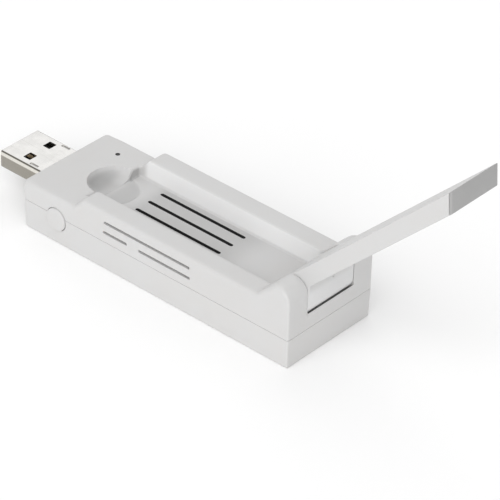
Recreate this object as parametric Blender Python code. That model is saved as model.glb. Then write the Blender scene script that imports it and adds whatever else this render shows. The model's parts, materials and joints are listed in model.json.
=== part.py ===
"""USB wifi adapter with a flip-up antenna, built piece by piece as it comes apart on a bench.

Frame: metres, +Z up, origin in the middle of the flat underside. The USB plug points to -X, the
antenna's hinge is at the +X end with its axis along Y, and the push button is on the -Y side.

The antenna is drawn folded, flush between its rails, on an empty that stands on the hinge axis.
That empty is turned by OPEN_ANGLE, so the whole antenna stands up as one body.
"""
import math

import bmesh
import bpy
from mathutils import Matrix, Vector

MM = 0.001

# ---------------------------------------------------------------- driving dimensions

# Clearances and cutters
FIT = 0.3 * MM               # gap kept between two neighbouring pieces
OVER = 1.0 * MM              # how far a cutter runs past the face that it opens
SHY = 0.05 * MM              # keeps two cutters from sharing a plane

# Case
LENGTH = 78.4 * MM           # along X, without the plug
WIDTH = 27.0 * MM
WALL = 1.2 * MM
PARTING_Z = 7.34 * MM        # where the two case halves meet
PLATEAU_Z = 12.2 * MM        # flat top at the plug end
RAIL_Z = 15.0 * MM           # top of the rails beside the antenna
FLOOR_Z = 9.8 * MM           # floor of the cradle that the antenna folds into
RAIL_WIDTH = 5.3 * MM        # each rail beside the cradle
EAR_WIDTH = 6.05 * MM        # each ear, a little wider than its rail
STEP_X = 15.2 * MM           # from the plug end to the step down into the cradle
RAMP_LENGTH = 3.8 * MM       # S-shaped rise from the plateau to the rails
PLUG_END_CORNER = 1.4 * MM   # upright corners at the plug end
EDGE_ROUND = 1.0 * MM        # rounding along the top edges and the hinge end
BOTTOM_ROUND = 0.3 * MM
DRAFT_INSET = 0.25 * MM      # how much the lower case narrows on each side towards the bottom

# Ears and hinge
EAR_ROUND = 3.4 * MM         # radius of the ears' tops
EAR_CENTRE_Z = 16.2 * MM
HINGE_SETBACK = 4.0 * MM     # hinge axis, in from the end face
HINGE_Z = 14.7 * MM
PIN_R = 1.2 * MM
PIN_IN_EAR = 3.7 * MM
PIN_IN_ANTENNA = 3.6 * MM
SLEEVE_R = 1.5 * MM
SLEEVE_BORE_R = 0.95 * MM
SLEEVE_IN_ANTENNA = 3.2 * MM
WASHER_WIDTH = 0.8 * MM
WASHER_THICKNESS = 0.35 * MM
CHIMNEY_WIDTH = 2.2 * MM     # upright duct for the aerial lead inside the near ear
OPEN_ANGLE = math.radians(135.65)

# Antenna
ARM_SIDE_GAP = 0.45 * MM     # between the antenna and each ear
ARM_THICKNESS = 4.0 * MM
TIP_SLOPE = math.radians(50) # slant of the tip, from the antenna's length
TIP_GAP = 0.05 * MM          # from the top of the rails' ramp to the folded tip
ARM_WALL = 1.0 * MM
ARM_LEDGE = 0.8 * MM         # step in the tray that the cover sits on
COVER_THICKNESS = 1.0 * MM
TIP_PLATE = 0.6 * MM
POCKET_START = 8.0 * MM      # from the hinge axis to the tray's near end
POCKET_TIP_WALL = 2.2 * MM
RADIATOR_THICKNESS = 0.6 * MM
RADIATOR_SHORT = 2.0 * MM    # how far it ends short of the pocket's near end
LEAD_R = 0.57 * MM           # thin coaxial lead
LEAD_DUCT = 1.9 * MM         # square duct from the hinge bore into the tray
LEAD_BEND = 0.9 * MM         # from a bend's start to its corner

# Thumb scoop, vents and light
SCOOP_MARGIN = 2.35 * MM     # from the scoop's rim to each cradle wall
SCOOP_DEPTH = 2.9 * MM
SCOOP_BOWL = 0.6             # how full the bowl is: 1 is a plain quarter circle
SCOOP_BOTTOM = 0.12          # flat middle, as a share of the rim's radius
FLOOR_VENTS = 4
FLOOR_VENT_MARGIN = 2.2 * MM # from a cradle wall to the middle of the outer slots
FLOOR_VENT_START = 23.8 * MM
FLOOR_VENT_LENGTH = 25.0 * MM
FLOOR_VENT_WIDTH = 0.9 * MM
SIDE_VENT_HEIGHT = 0.6 * MM
SIDE_VENTS = (               # start from the plug end, length, height above the underside
    (25.1 * MM, 25.3 * MM, 12.4 * MM),
    (24.8 * MM, 7.2 * MM, 9.8 * MM),
    (35.3 * MM, 15.2 * MM, 9.8 * MM),
)
LIGHT_X = 8.4 * MM           # from the plug end
LIGHT_SIDE = 5.2 * MM        # in from the +Y side
LIGHT_PIPE_R = 0.45 * MM
LIGHT_PIPE_FLANGE_R = 1.1 * MM
LIGHT_PIPE_SINK = 0.3 * MM   # its end lies this far below the plateau

# Push button and its switch
BUTTON_X = 10.6 * MM
BUTTON_Z = 6.4 * MM
BUTTON_R = 2.8 * MM
BUTTON_PROUD = 0.2 * MM
BUTTON_FLANGE = 0.6 * MM
BUTTON_STEM = 0.5 * MM
BUTTON_STEM_R = 1.0 * MM
BUTTON_TRAVEL = 0.3 * MM
PLUNGER_R = 0.8 * MM
PLUNGER_LENGTH = 1.5 * MM
SWITCH_SIZE = (4.4 * MM, 3.4 * MM, 2.6 * MM)

# USB plug
PLUG_WIDTH = 12.0 * MM
PLUG_HEIGHT = 4.5 * MM
PLUG_OUT = 14.3 * MM         # how far it stands out of the case
PLUG_IN = 4.5 * MM           # how far it reaches inside
PLUG_Z = 7.5 * MM            # height of its middle
PLUG_SHEET = 0.3 * MM
PLUG_CORNER = 0.6 * MM
WINDOW_FRONT = 5.45 * MM     # from the plug's mouth to its windows
WINDOW_LENGTH = 2.1 * MM
WINDOW_WIDTH = 2.4 * MM
WINDOW_SPACING = 6.2 * MM
TONGUE_THICKNESS = 1.4 * MM
INSULATOR_BLOCK = 8.0 * MM   # the full-height block behind the tongue
CONTACT_THICKNESS = 0.25 * MM
CONTACT_SETBACK = 1.2 * MM   # from the plug's mouth to the contacts' ends
CONTACT_FOOT = 1.4 * MM
CONTACTS = (                 # width and place across the plug
    (1.1 * MM, -3.5 * MM),
    (1.0 * MM, -1.0 * MM),
    (1.0 * MM, 1.0 * MM),
    (1.1 * MM, 3.5 * MM),
)

# Circuit board and what it carries
BOARD_THICKNESS = 1.0 * MM
BOARD_SIDE_GAP = 1.6 * MM    # from the case wall's inner face
BOARD_END_GAP = 12.0 * MM    # short of the hinge end
POST_R = 1.5 * MM
POST_INSET = 3.2 * MM
CAN_START = 24.0 * MM
CAN_LENGTH = 28.0 * MM
CAN_SHEET = 0.3 * MM
CAN_EDGE_GAP = 2.2 * MM      # from the board's long edges
CAN_HEADROOM = 0.6 * MM      # below the cradle floor's underside
CHIP_HEIGHT = 0.9 * MM
WIFI_CHIP_SIDE = 9.0 * MM
THERMAL_PAD_SIDE = 7.0 * MM
AMPLIFIER_SIDE = 3.0 * MM
CHIP_MARGIN = 2.0 * MM       # from the can's end to the radio chip
CHIP_SPACING = 3.0 * MM
LEAD_SOCKET_X = 59.0 * MM
LEAD_SOCKET_INSET = 2.0 * MM
LEAD_SOCKET_SIZE = (2.6 * MM, 2.6 * MM, 1.2 * MM)

# Rating label, blank, in a shallow recess of the underside
LABEL_START = 46.0 * MM
LABEL_SIZE = (24.0 * MM, 17.0 * MM)
LABEL_THICKNESS = 0.25 * MM
LABEL_SINK = 0.05 * MM

# ---------------------------------------------------------------- derived places

PLUG_END = -LENGTH / 2
HINGE_END = LENGTH / 2
NEAR = -WIDTH / 2
FAR = WIDTH / 2
CRADLE_HALF = FAR - RAIL_WIDTH
SLOT_HALF = FAR - EAR_WIDTH
ARM_HALF = SLOT_HALF - ARM_SIDE_GAP
HINGE_X = HINGE_END - HINGE_SETBACK
EAR_X = HINGE_END - EAR_ROUND
STEP = PLUG_END + STEP_X
RAMP_TOP = STEP + RAMP_LENGTH
UPPER_BOTTOM = PARTING_Z + FIT / 2
LOWER_TOP = PARTING_Z - FIT / 2
CEILING = FLOOR_Z - WALL
ARM_UNDERSIDE = RAIL_Z - ARM_THICKNESS
PLUG_MOUTH = PLUG_END - PLUG_OUT
PLUG_BOTTOM = PLUG_Z - PLUG_HEIGHT / 2
BOARD_TOP = PLUG_BOTTOM - FIT
BOARD_BOTTOM = BOARD_TOP - BOARD_THICKNESS
ON_BOARD = BOARD_TOP + FIT
BOARD_HALF = FAR - WALL - BOARD_SIDE_GAP
BOARD_X = (PLUG_END + WALL + FIT, HINGE_END - BOARD_END_GAP)


# ---------------------------------------------------------------- modelling helpers

def circle(centre_a, centre_b, radius, steps=24, start=0.0, sweep=2 * math.pi):
    """Points on an arc in a plane; a full turn leaves out the repeated last point."""
    count = steps if sweep >= 2 * math.pi else steps + 1
    angles = [start + sweep * i / steps for i in range(count)]
    return [(centre_a + radius * math.cos(a), centre_b + radius * math.sin(a)) for a in angles]


def prism(outline, axis, low, high):
    """A closed prism. The outline's points are (y, z), (x, z) or (x, y) for axis X, Y or Z."""
    spots = {
        'X': lambda a, b, t: (t, a, b),
        'Y': lambda a, b, t: (a, t, b),
        'Z': lambda a, b, t: (a, b, t),
    }
    spot = spots[axis]
    shape = bmesh.new()
    face = shape.faces.new([shape.verts.new(spot(a, b, low)) for a, b in outline])
    grown = bmesh.ops.extrude_face_region(shape, geom=[face])
    moved = [item for item in grown['geom'] if isinstance(item, bmesh.types.BMVert)]
    bmesh.ops.translate(shape, verts=moved, vec=Vector(spot(0, 0, high - low)))
    bmesh.ops.recalc_face_normals(shape, faces=shape.faces)
    return shape


def box(x, y, z):
    """A block from three (low, high) pairs."""
    outline = [(x[0], y[0]), (x[1], y[0]), (x[1], y[1]), (x[0], y[1])]
    return prism(outline, 'Z', z[0], z[1])


def rod(axis, centre, radius, low, high, steps=24):
    return prism(circle(centre[0], centre[1], radius, steps), axis, low, high)


def together(shapes):
    """Several closed shapes that don't meet, in one mesh."""
    whole = bmesh.new()
    for shape in shapes:
        mesh = bpy.data.meshes.new("scrap")
        shape.to_mesh(mesh)
        shape.free()
        whole.from_mesh(mesh)
        bpy.data.meshes.remove(mesh)
    return whole


def loft(rings, closed=False):
    """Skin a list of rings with equal point counts; closed joins the last ring to the first."""
    shape = bmesh.new()
    rows = [[shape.verts.new(point) for point in ring] for ring in rings]
    count = len(rows[0])
    pairs = list(zip(rows, rows[1:]))
    if closed:
        pairs.append((rows[-1], rows[0]))
    for low, high in pairs:
        for i in range(count):
            j = (i + 1) % count
            shape.faces.new((low[i], low[j], high[j], high[i]))
    if not closed:
        shape.faces.new(rows[0])
        shape.faces.new(rows[-1])
    bmesh.ops.recalc_face_normals(shape, faces=shape.faces)
    return shape


def turned_y(profile, x, z, steps=24, closed=False):
    """Turn (y, radius) points about a line along Y through (x, z)."""
    rings = [[(a, y, b) for a, b in circle(x, z, radius, steps)] for y, radius in profile]
    return loft(rings, closed)


def turned_z(profile, x, y, steps=24):
    """Turn (z, radius) points about an upright line through (x, y)."""
    return loft([[(a, b, z) for a, b in circle(x, y, radius, steps)] for z, radius in profile])


def rounded_plan(inset, steps=4):
    """The case's outline seen from above, drawn in by inset on every side."""
    low, high = PLUG_END + inset, HINGE_END - inset
    half = FAR - inset
    plug_r = max(PLUG_END_CORNER - inset, FIT)
    hinge_r = max(EDGE_ROUND - inset, FIT)
    quarter = math.pi / 2
    corners = (
        (low + plug_r, -half + plug_r, plug_r, 2),
        (high - hinge_r, -half + hinge_r, hinge_r, 3),
        (high - hinge_r, half - hinge_r, hinge_r, 0),
        (low + plug_r, half - plug_r, plug_r, 1),
    )
    points = []
    for x, y, radius, turn in corners:
        points += circle(x, y, radius, steps, turn * quarter, quarter)
    return points


def plan_loft(levels):
    """A solid through the case's outline at each (height, inset)."""
    return loft([[(x, y, z) for x, y in rounded_plan(inset)] for z, inset in levels])


MATERIALS = {}


def material(name, colour, roughness, metallic=0.0):
    """One Principled material for each finish, made once."""
    if name not in MATERIALS:
        made = bpy.data.materials.new(name)
        made.use_nodes = True
        shader = made.node_tree.nodes["Principled BSDF"]
        shader.inputs["Base Color"].default_value = (*colour, 1.0)
        shader.inputs["Roughness"].default_value = roughness
        shader.inputs["Metallic"].default_value = metallic
        MATERIALS[name] = made
    return MATERIALS[name]


def white_plastic():
    return material("white_plastic", (0.80, 0.80, 0.78), 0.45)


def grey_plastic():
    return material("grey_plastic", (0.36, 0.36, 0.35), 0.5)


def black_plastic():
    return material("black_plastic", (0.03, 0.03, 0.03), 0.5)


def plated_steel():
    return material("plated_steel", (0.62, 0.60, 0.55), 0.28, 1.0)


def gold_plate():
    return material("gold_plate", (0.85, 0.62, 0.25), 0.3, 1.0)


def circuit_green():
    return material("circuit_green", (0.03, 0.18, 0.08), 0.5)


def add_piece(name, shape, finish, origin=(0, 0, 0), parent=None):
    """Turn a shape drawn in place into an object whose origin, or parent, is on its own axis."""
    mesh = bpy.data.meshes.new(name)
    bmesh.ops.translate(shape, verts=shape.verts, vec=-Vector(origin))
    shape.to_mesh(mesh)
    shape.free()
    mesh.shade_smooth()
    mesh.set_sharp_from_angle(angle=math.radians(30))
    piece = bpy.data.objects.new(name, mesh)
    bpy.context.scene.collection.objects.link(piece)
    if finish:
        mesh.materials.append(finish)
    if parent:
        piece.parent = parent
    else:
        piece.location = origin
    return piece


def with_tool(target, shape, operation, label, origin=(0, 0, 0), parent=None):
    """Cut a shape out of a piece, or join it on, with a live Boolean."""
    tool = add_piece("tool_" + target.name + "_" + label, shape, None, origin, parent)
    tool.hide_render = True
    tool.display_type = 'WIRE'
    change = target.modifiers.new(label, 'BOOLEAN')
    change.operation = operation
    change.object = tool


def cut(target, shape, label):
    with_tool(target, shape, 'DIFFERENCE', label)


def join_on(target, shape, label):
    with_tool(target, shape, 'UNION', label)


# ---------------------------------------------------------------- case

def ear_arc(stop, steps=10):
    """The ear's round top, from the end face over to where its slope begins."""
    return circle(EAR_X, EAR_CENTRE_Z, EAR_ROUND, steps, 0.0, stop)


def folded_top(steps=8):
    """Side outline of the rails and ears: end face, round ear, 45 degree slope, ramp, plateau."""
    slope = math.radians(135)
    outline = ear_arc(slope) + [(ear_foot(), RAIL_Z)]
    for i in range(steps + 1):
        t = i / steps
        rise = (RAIL_Z - PLATEAU_Z) * (1 + math.cos(math.pi * t)) / 2
        outline.append((RAMP_TOP - RAMP_LENGTH * t, PLATEAU_Z + rise))
    return outline


def round_upper_edges(shape):
    """Round the upright corners at the plug end, then the top edges all the way round."""
    def uprights(edge):
        ends = [vert.co for vert in edge.verts]
        level = all(abs(end.x - PLUG_END) < SHY for end in ends)
        return level and abs(ends[0].z - ends[1].z) > SHY

    bmesh.ops.bevel(shape, geom=[e for e in shape.edges if uprights(e)], offset=PLUG_END_CORNER,
                    segments=4, profile=0.5, affect='EDGES')
    shape.normal_update()

    def is_side(face):
        return abs(face.normal.y) > 0.01 or face.normal.x < -0.99

    def is_top(face):
        return not is_side(face) and face.normal.z > -0.5

    def on_rim(edge):
        kinds = [(is_side(face), is_top(face)) for face in edge.link_faces]
        return (True, False) in kinds and (False, True) in kinds

    bmesh.ops.bevel(shape, geom=[e for e in shape.edges if on_rim(e)], offset=EDGE_ROUND,
                    segments=3, profile=0.5, affect='EDGES')
    bmesh.ops.recalc_face_normals(shape, faces=shape.faces)


def upper_shell():
    """Outside of the upper case as one solid block."""
    outline = [(PLUG_END, UPPER_BOTTOM), (HINGE_END, UPPER_BOTTOM)] + folded_top()
    outline.append((PLUG_END, PLATEAU_Z))
    shape = prism(outline, 'Y', NEAR, FAR)
    round_upper_edges(shape)
    return shape


def sweep_radius():
    """Farthest that the antenna's round root reaches from the hinge axis."""
    return math.hypot(EAR_X - HINGE_X, EAR_CENTRE_Z - HINGE_Z) + EAR_ROUND


def ear_foot():
    """X where the ear's slope leaves the top of its rail."""
    top_x, top_z = ear_arc(math.radians(135))[-1]
    return top_x - (top_z - RAIL_Z)


def cradle():
    """The space between the rails that the antenna folds into."""
    sky = RAIL_Z + OVER
    return box((STEP, ear_foot()), (-CRADLE_HALF, CRADLE_HALF), (FLOOR_Z, sky))


def hinge_slot():
    """The narrower space between the ears, with a round trough for the antenna's root to turn in."""
    radius = sweep_radius() + FIT
    drop = math.asin((HINGE_Z - FLOOR_Z) / radius)
    sky = EAR_CENTRE_Z + EAR_ROUND + OVER
    start = ear_foot() - OVER
    outline = [(start, sky), (start, FLOOR_Z)]
    outline += circle(HINGE_X, HINGE_Z, radius, 16, math.pi + drop, math.pi - drop)
    outline.append((HINGE_X + radius, sky))
    return prism(outline, 'Y', -SLOT_HALF, SLOT_HALF)


def main_hollow():
    """Room for the board: high under the plateau, lower under the cradle and its trough."""
    trough_start = HINGE_X - sweep_radius()
    trough_ceiling = HINGE_Z - sweep_radius() - FIT - WALL
    low = UPPER_BOTTOM - OVER
    outline = [
        (PLUG_END + WALL, low), (HINGE_END - WALL, low), (HINGE_END - WALL, trough_ceiling),
        (trough_start, trough_ceiling), (trough_start, CEILING), (STEP - WALL, CEILING),
        (STEP - WALL, PLATEAU_Z - WALL), (PLUG_END + WALL, PLATEAU_Z - WALL),
    ]
    return prism(outline, 'Y', NEAR + WALL, FAR - WALL)


def rail_hollow(side):
    """The hollow inside one rail and the lower part of its ear."""
    ear_start = HINGE_X - EAR_ROUND - SLEEVE_R
    ear_ceiling = HINGE_Z - SLEEVE_R - FIT - WALL
    low = UPPER_BOTTOM - OVER
    end = HINGE_END - WALL - SHY
    outline = [
        (RAMP_TOP, low), (end, low), (end, ear_ceiling), (ear_start, ear_ceiling),
        (ear_start, RAIL_Z - WALL), (RAMP_TOP, RAIL_Z - WALL),
    ]
    edges = sorted((side * (CRADLE_HALF + WALL), side * (FAR - WALL - SHY)))
    return prism(outline, 'Y', edges[0], edges[1])


def hinge_bores(case):
    """The sleeve's bore and lead duct in the near ear, the pin's blind bore in the far ear."""
    duct = (NEAR + WALL + 2 * SHY, NEAR + WALL + CHIMNEY_WIDTH)
    half = SLEEVE_R + SHY
    ear_ceiling = HINGE_Z - SLEEVE_R - FIT - WALL
    chimney = box((HINGE_X - half, HINGE_X + half), duct, (ear_ceiling - OVER, HINGE_Z + half))
    cut(case, chimney, "lead_duct")
    spot = (HINGE_X, HINGE_Z)
    sleeve_bore = rod('Y', spot, SLEEVE_R + FIT, duct[1] - OVER, -SLOT_HALF + OVER)
    cut(case, sleeve_bore, "sleeve_bore")
    cut(case, rod('Y', spot, PIN_R + FIT, SLOT_HALF - OVER, SLOT_HALF + PIN_IN_EAR + FIT), "pin_bore")
    seat_r = PIN_R + WASHER_WIDTH + 2 * FIT
    seat_depth = WASHER_THICKNESS + 2 * FIT
    cut(case, rod('Y', spot, seat_r, SLOT_HALF - OVER, SLOT_HALF + seat_depth), "washer_seat")


def scoop():
    """Round dish for the thumb, half in the plateau and half in the cradle floor."""
    rim = CRADLE_HALF - SCOOP_MARGIN
    bottom = PLATEAU_Z - SCOOP_DEPTH
    steps = 6
    profile = [(PLATEAU_Z + OVER, rim)]
    for i in range(steps):
        turn = math.pi / 2 * i / steps
        profile.append((PLATEAU_Z - SCOOP_DEPTH * math.sin(turn), rim * math.cos(turn) ** SCOOP_BOWL))
    profile.append((bottom, rim * SCOOP_BOTTOM))
    return turned_z(profile, STEP, 0.0, 32)


def scoop_cup():
    """Thicker stuff under the scoop, so that it doesn't break through into the case."""
    rim = CRADLE_HALF - SCOOP_MARGIN + WALL
    return rod('Z', (STEP, 0.0), rim, PLATEAU_Z - SCOOP_DEPTH - WALL, PLATEAU_Z - WALL / 2, 32)


def floor_vents():
    """Long slots in the cradle floor, evenly spread between its walls."""
    x = (PLUG_END + FLOOR_VENT_START, PLUG_END + FLOOR_VENT_START + FLOOR_VENT_LENGTH)
    first = -CRADLE_HALF + FLOOR_VENT_MARGIN
    pitch = -2 * first / (FLOOR_VENTS - 1)
    half = FLOOR_VENT_WIDTH / 2
    slots = []
    for i in range(FLOOR_VENTS):
        middle = first + pitch * i
        slots.append(box(x, (middle - half, middle + half), (CEILING - OVER / 2, FLOOR_Z + OVER)))
    return together(slots)


def side_vents():
    """Slots through both long walls into the hollow rails."""
    slots = []
    for start, length, height in SIDE_VENTS:
        x = (PLUG_END + start, PLUG_END + start + length)
        z = (height - SIDE_VENT_HEIGHT / 2, height + SIDE_VENT_HEIGHT / 2)
        slots.append(box(x, (NEAR - OVER, NEAR + WALL + OVER), z))
        slots.append(box(x, (FAR - WALL - OVER, FAR + OVER), z))
    return together(slots)


def plug_opening():
    half_width = PLUG_WIDTH / 2 + FIT
    half_height = PLUG_HEIGHT / 2 + FIT
    x = (PLUG_END - OVER, PLUG_END + WALL + OVER)
    return box(x, (-half_width, half_width), (PLUG_Z - half_height, PLUG_Z + half_height))


def button_hole():
    spot = (PLUG_END + BUTTON_X, BUTTON_Z)
    return rod('Y', spot, BUTTON_R + FIT, NEAR - OVER, NEAR + WALL + OVER / 2, 32)


def make_upper_case():
    case = add_piece("upper_case", upper_shell(), white_plastic())
    cut(case, main_hollow(), "main_hollow")
    cut(case, rail_hollow(-1), "near_rail_hollow")
    cut(case, rail_hollow(1), "far_rail_hollow")
    join_on(case, scoop_cup(), "scoop_cup")
    cut(case, cradle(), "cradle")
    cut(case, hinge_slot(), "hinge_slot")
    cut(case, scoop(), "scoop")
    hinge_bores(case)
    cut(case, floor_vents(), "floor_vents")
    cut(case, side_vents(), "side_vents")
    cut(case, plug_opening(), "plug_opening")
    cut(case, button_hole(), "button_hole")
    light = (PLUG_END + LIGHT_X, FAR - LIGHT_SIDE)
    light_hole = rod('Z', light, LIGHT_PIPE_R + FIT, PLATEAU_Z - WALL - OVER, PLATEAU_Z + OVER, 16)
    cut(case, light_hole, "light_hole")
    return case


def label_recess():
    start = PLUG_END + LABEL_START
    half = LABEL_SIZE[1] / 2 + FIT
    depth = LABEL_SINK + LABEL_THICKNESS + FIT
    return box((start - FIT, start + LABEL_SIZE[0] + FIT), (-half, half), (-OVER, depth))


def board_posts():
    """Four posts that hold the board up from the case floor."""
    posts = []
    for x in (BOARD_X[0] + POST_INSET, BOARD_X[1] - POST_INSET):
        for side in (-1, 1):
            spot = (x, side * (BOARD_HALF - POST_INSET))
            posts.append(rod('Z', spot, POST_R, WALL / 2, BOARD_BOTTOM - FIT, 16))
    return together(posts)


def make_lower_case():
    levels = ((0.0, DRAFT_INSET + BOTTOM_ROUND), (BOTTOM_ROUND, DRAFT_INSET), (LOWER_TOP, 0.0))
    case = add_piece("lower_case", plan_loft(levels), white_plastic())
    hollow = plan_loft(((WALL, DRAFT_INSET + WALL), (LOWER_TOP, WALL), (LOWER_TOP + OVER, WALL)))
    cut(case, hollow, "hollow")
    join_on(case, board_posts(), "posts")
    cut(case, plug_opening(), "plug_opening")
    cut(case, button_hole(), "button_hole")
    cut(case, label_recess(), "label_recess")
    return case


def make_label():
    start = PLUG_END + LABEL_START
    half = LABEL_SIZE[1] / 2
    sheet = box((start, start + LABEL_SIZE[0]), (-half, half), (LABEL_SINK, LABEL_SINK + LABEL_THICKNESS))
    add_piece("rating_label", sheet, material("label_film", (0.72, 0.72, 0.71), 0.35))


# ---------------------------------------------------------------- USB plug

def rounded_section(half_y, half_z, radius, steps=3):
    """Rounded rectangle across the plug, as (y, z) points."""
    points = []
    for i, (sy, sz) in enumerate(((1, 1), (-1, 1), (-1, -1), (1, -1))):
        centre = (sy * (half_y - radius), PLUG_Z + sz * (half_z - radius))
        points += circle(*centre, radius, steps, i * math.pi / 2, math.pi / 2)
    return points


def plug_windows():
    """Two square windows in the top sheet and two in the bottom."""
    x = (PLUG_MOUTH + WINDOW_FRONT, PLUG_MOUTH + WINDOW_FRONT + WINDOW_LENGTH)
    holes = []
    for side in (-1, 1):
        middle = side * WINDOW_SPACING / 2
        y = (middle - WINDOW_WIDTH / 2, middle + WINDOW_WIDTH / 2)
        for up in (-1, 1):
            face = PLUG_Z + up * PLUG_HEIGHT / 2
            z = (face - PLUG_SHEET - FIT / 2, face + OVER)
            if up < 0:
                z = (face - OVER, face + PLUG_SHEET + FIT / 2)
            holes.append(box(x, y, z))
    return together(holes)


def make_usb_shell():
    outer = rounded_section(PLUG_WIDTH / 2, PLUG_HEIGHT / 2, PLUG_CORNER)
    shell = add_piece("usb_shell", prism(outer, 'X', PLUG_MOUTH, PLUG_END + PLUG_IN), plated_steel())
    inner = rounded_section(PLUG_WIDTH / 2 - PLUG_SHEET, PLUG_HEIGHT / 2 - PLUG_SHEET,
                            PLUG_CORNER - PLUG_SHEET)
    cut(shell, prism(inner, 'X', PLUG_MOUTH - OVER, PLUG_END + PLUG_IN + OVER), "inside")
    cut(shell, plug_windows(), "windows")


def contact_level():
    """Underside of the contact strips, just above the tongue."""
    return PLUG_BOTTOM + PLUG_SHEET + FIT + TONGUE_THICKNESS + FIT


def make_usb_insulator():
    """The tongue and the block behind it in one moulding, with a tunnel for each contact."""
    half = PLUG_WIDTH / 2 - PLUG_SHEET - FIT
    low = PLUG_BOTTOM + PLUG_SHEET + FIT
    tongue_top = low + TONGUE_THICKNESS
    block_top = PLUG_Z + PLUG_HEIGHT / 2 - PLUG_SHEET - FIT
    back = PLUG_END + PLUG_IN - FIT
    outline = [
        (PLUG_MOUTH + FIT, low), (back, low), (back, block_top), (back - INSULATOR_BLOCK, block_top),
        (back - INSULATOR_BLOCK, tongue_top), (PLUG_MOUTH + FIT, tongue_top),
    ]
    insulator = add_piece("usb_insulator", prism(outline, 'Y', -half, half), black_plastic())
    level = contact_level()
    tunnels = []
    for width, place in CONTACTS:
        reach = width / 2 + FIT
        x = (back - INSULATOR_BLOCK - OVER, back + OVER)
        z = (tongue_top + SHY, level + CONTACT_THICKNESS + FIT)
        tunnels.append(box(x, (place - reach, place + reach), z))
    cut(insulator, together(tunnels), "contact_tunnels")


def make_usb_contacts():
    """Four spring strips that run back over the tongue and down to feet on the board."""
    level = contact_level()
    t = CONTACT_THICKNESS
    start = PLUG_MOUTH + CONTACT_SETBACK
    drop = PLUG_END + PLUG_IN + FIT
    foot = drop + CONTACT_FOOT
    outline = [
        (start, level), (drop, level), (drop, ON_BOARD), (foot, ON_BOARD), (foot, ON_BOARD + t),
        (drop + t, ON_BOARD + t), (drop + t, level + t), (start, level + t),
    ]
    for number, (width, place) in enumerate(CONTACTS, start=1):
        strip = prism(outline, 'Y', place - width / 2, place + width / 2)
        add_piece("usb_contact_%d" % number, strip, gold_plate())


# ---------------------------------------------------------------- board and components

def block_on_board(name, x, y, size, finish, level=ON_BOARD):
    """A component's body: corner x from the plug end, middle y, and its size."""
    low_x = PLUG_END + x
    shape = box((low_x, low_x + size[0]), (y - size[1] / 2, y + size[1] / 2), (level, level + size[2]))
    return add_piece(name, shape, finish)


def make_board():
    plate = box(BOARD_X, (-BOARD_HALF, BOARD_HALF), (BOARD_BOTTOM, BOARD_TOP))
    add_piece("main_board", plate, circuit_green())


def make_shield_can():
    """Open-bottomed sheet can over the radio chips."""
    x = (PLUG_END + CAN_START, PLUG_END + CAN_START + CAN_LENGTH)
    half = BOARD_HALF - CAN_EDGE_GAP
    top = CEILING - CAN_HEADROOM
    tin = material("tin_plate", (0.66, 0.67, 0.66), 0.35, 1.0)
    can = add_piece("shield_can", box(x, (-half, half), (ON_BOARD, top)), tin)
    s = CAN_SHEET
    inside = box((x[0] + s, x[1] - s), (-half + s, half - s), (ON_BOARD - OVER, top - s))
    cut(can, inside, "inside")


def make_chips():
    """The radio chip with its thermal pad, two amplifiers and a crystal in the can; the rest outside."""
    epoxy = material("chip_epoxy", (0.05, 0.05, 0.055), 0.55)
    chip_x = CAN_START + CHIP_MARGIN
    block_on_board("wifi_chip", chip_x, 0.0, (WIFI_CHIP_SIDE, WIFI_CHIP_SIDE, CHIP_HEIGHT), epoxy)
    pad_level = ON_BOARD + CHIP_HEIGHT + FIT
    pad_top = CEILING - CAN_HEADROOM - CAN_SHEET - FIT
    pad_x = chip_x + (WIFI_CHIP_SIDE - THERMAL_PAD_SIDE) / 2
    pad_size = (THERMAL_PAD_SIDE, THERMAL_PAD_SIDE, pad_top - pad_level)
    grey_pad = material("thermal_pad", (0.42, 0.46, 0.50), 0.8)
    block_on_board("thermal_pad", pad_x, 0.0, pad_size, grey_pad, pad_level)
    amplifier = (AMPLIFIER_SIDE, AMPLIFIER_SIDE, CHIP_HEIGHT)
    amplifier_x = chip_x + WIFI_CHIP_SIDE + CHIP_SPACING
    block_on_board("amplifier_chip_1", amplifier_x, -AMPLIFIER_SIDE, amplifier, epoxy)
    block_on_board("amplifier_chip_2", amplifier_x, AMPLIFIER_SIDE, amplifier, epoxy)
    crystal_x = amplifier_x + AMPLIFIER_SIDE + CHIP_SPACING
    crystal_size = (3.2 * MM, 2.5 * MM, CHIP_HEIGHT)
    block_on_board("crystal", crystal_x, 0.0, crystal_size, plated_steel())
    block_on_board("flash_chip", 15.0 * MM, 4.0 * MM, (4.9 * MM, 3.9 * MM, 1.4 * MM), epoxy)
    block_on_board("regulator_chip", 15.5 * MM, -4.5 * MM, (2.9 * MM, 1.6 * MM, 1.1 * MM), epoxy)
    coil_size = (3.0 * MM, 3.0 * MM, 1.5 * MM)
    block_on_board("power_inductor", 15.5 * MM, -0.8 * MM, coil_size, grey_plastic())


def make_light():
    """The status light on the board and the clear pipe that carries it up to the plateau."""
    x = PLUG_END + LIGHT_X
    y = FAR - LIGHT_SIDE
    lamp = (1.6 * MM, 0.8 * MM, 0.6 * MM)
    lens = material("led_lens", (0.80, 0.78, 0.55), 0.3)
    block_on_board("status_led", LIGHT_X - lamp[0] / 2, y, lamp, lens)
    foot = ON_BOARD + lamp[2] + FIT
    flange_top = PLATEAU_Z - WALL - FIT
    flange_foot = flange_top - 2 * FIT
    end = PLATEAU_Z - LIGHT_PIPE_SINK
    profile = (
        (foot, LIGHT_PIPE_R), (flange_foot, LIGHT_PIPE_R), (flange_foot, LIGHT_PIPE_FLANGE_R),
        (flange_top, LIGHT_PIPE_FLANGE_R), (flange_top, LIGHT_PIPE_R), (end, LIGHT_PIPE_R),
    )
    pipe = turned_z(profile, x, y, 16)
    add_piece("light_pipe", pipe, material("clear_acrylic", (0.75, 0.78, 0.80), 0.15))


# ---------------------------------------------------------------- push button

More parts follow.
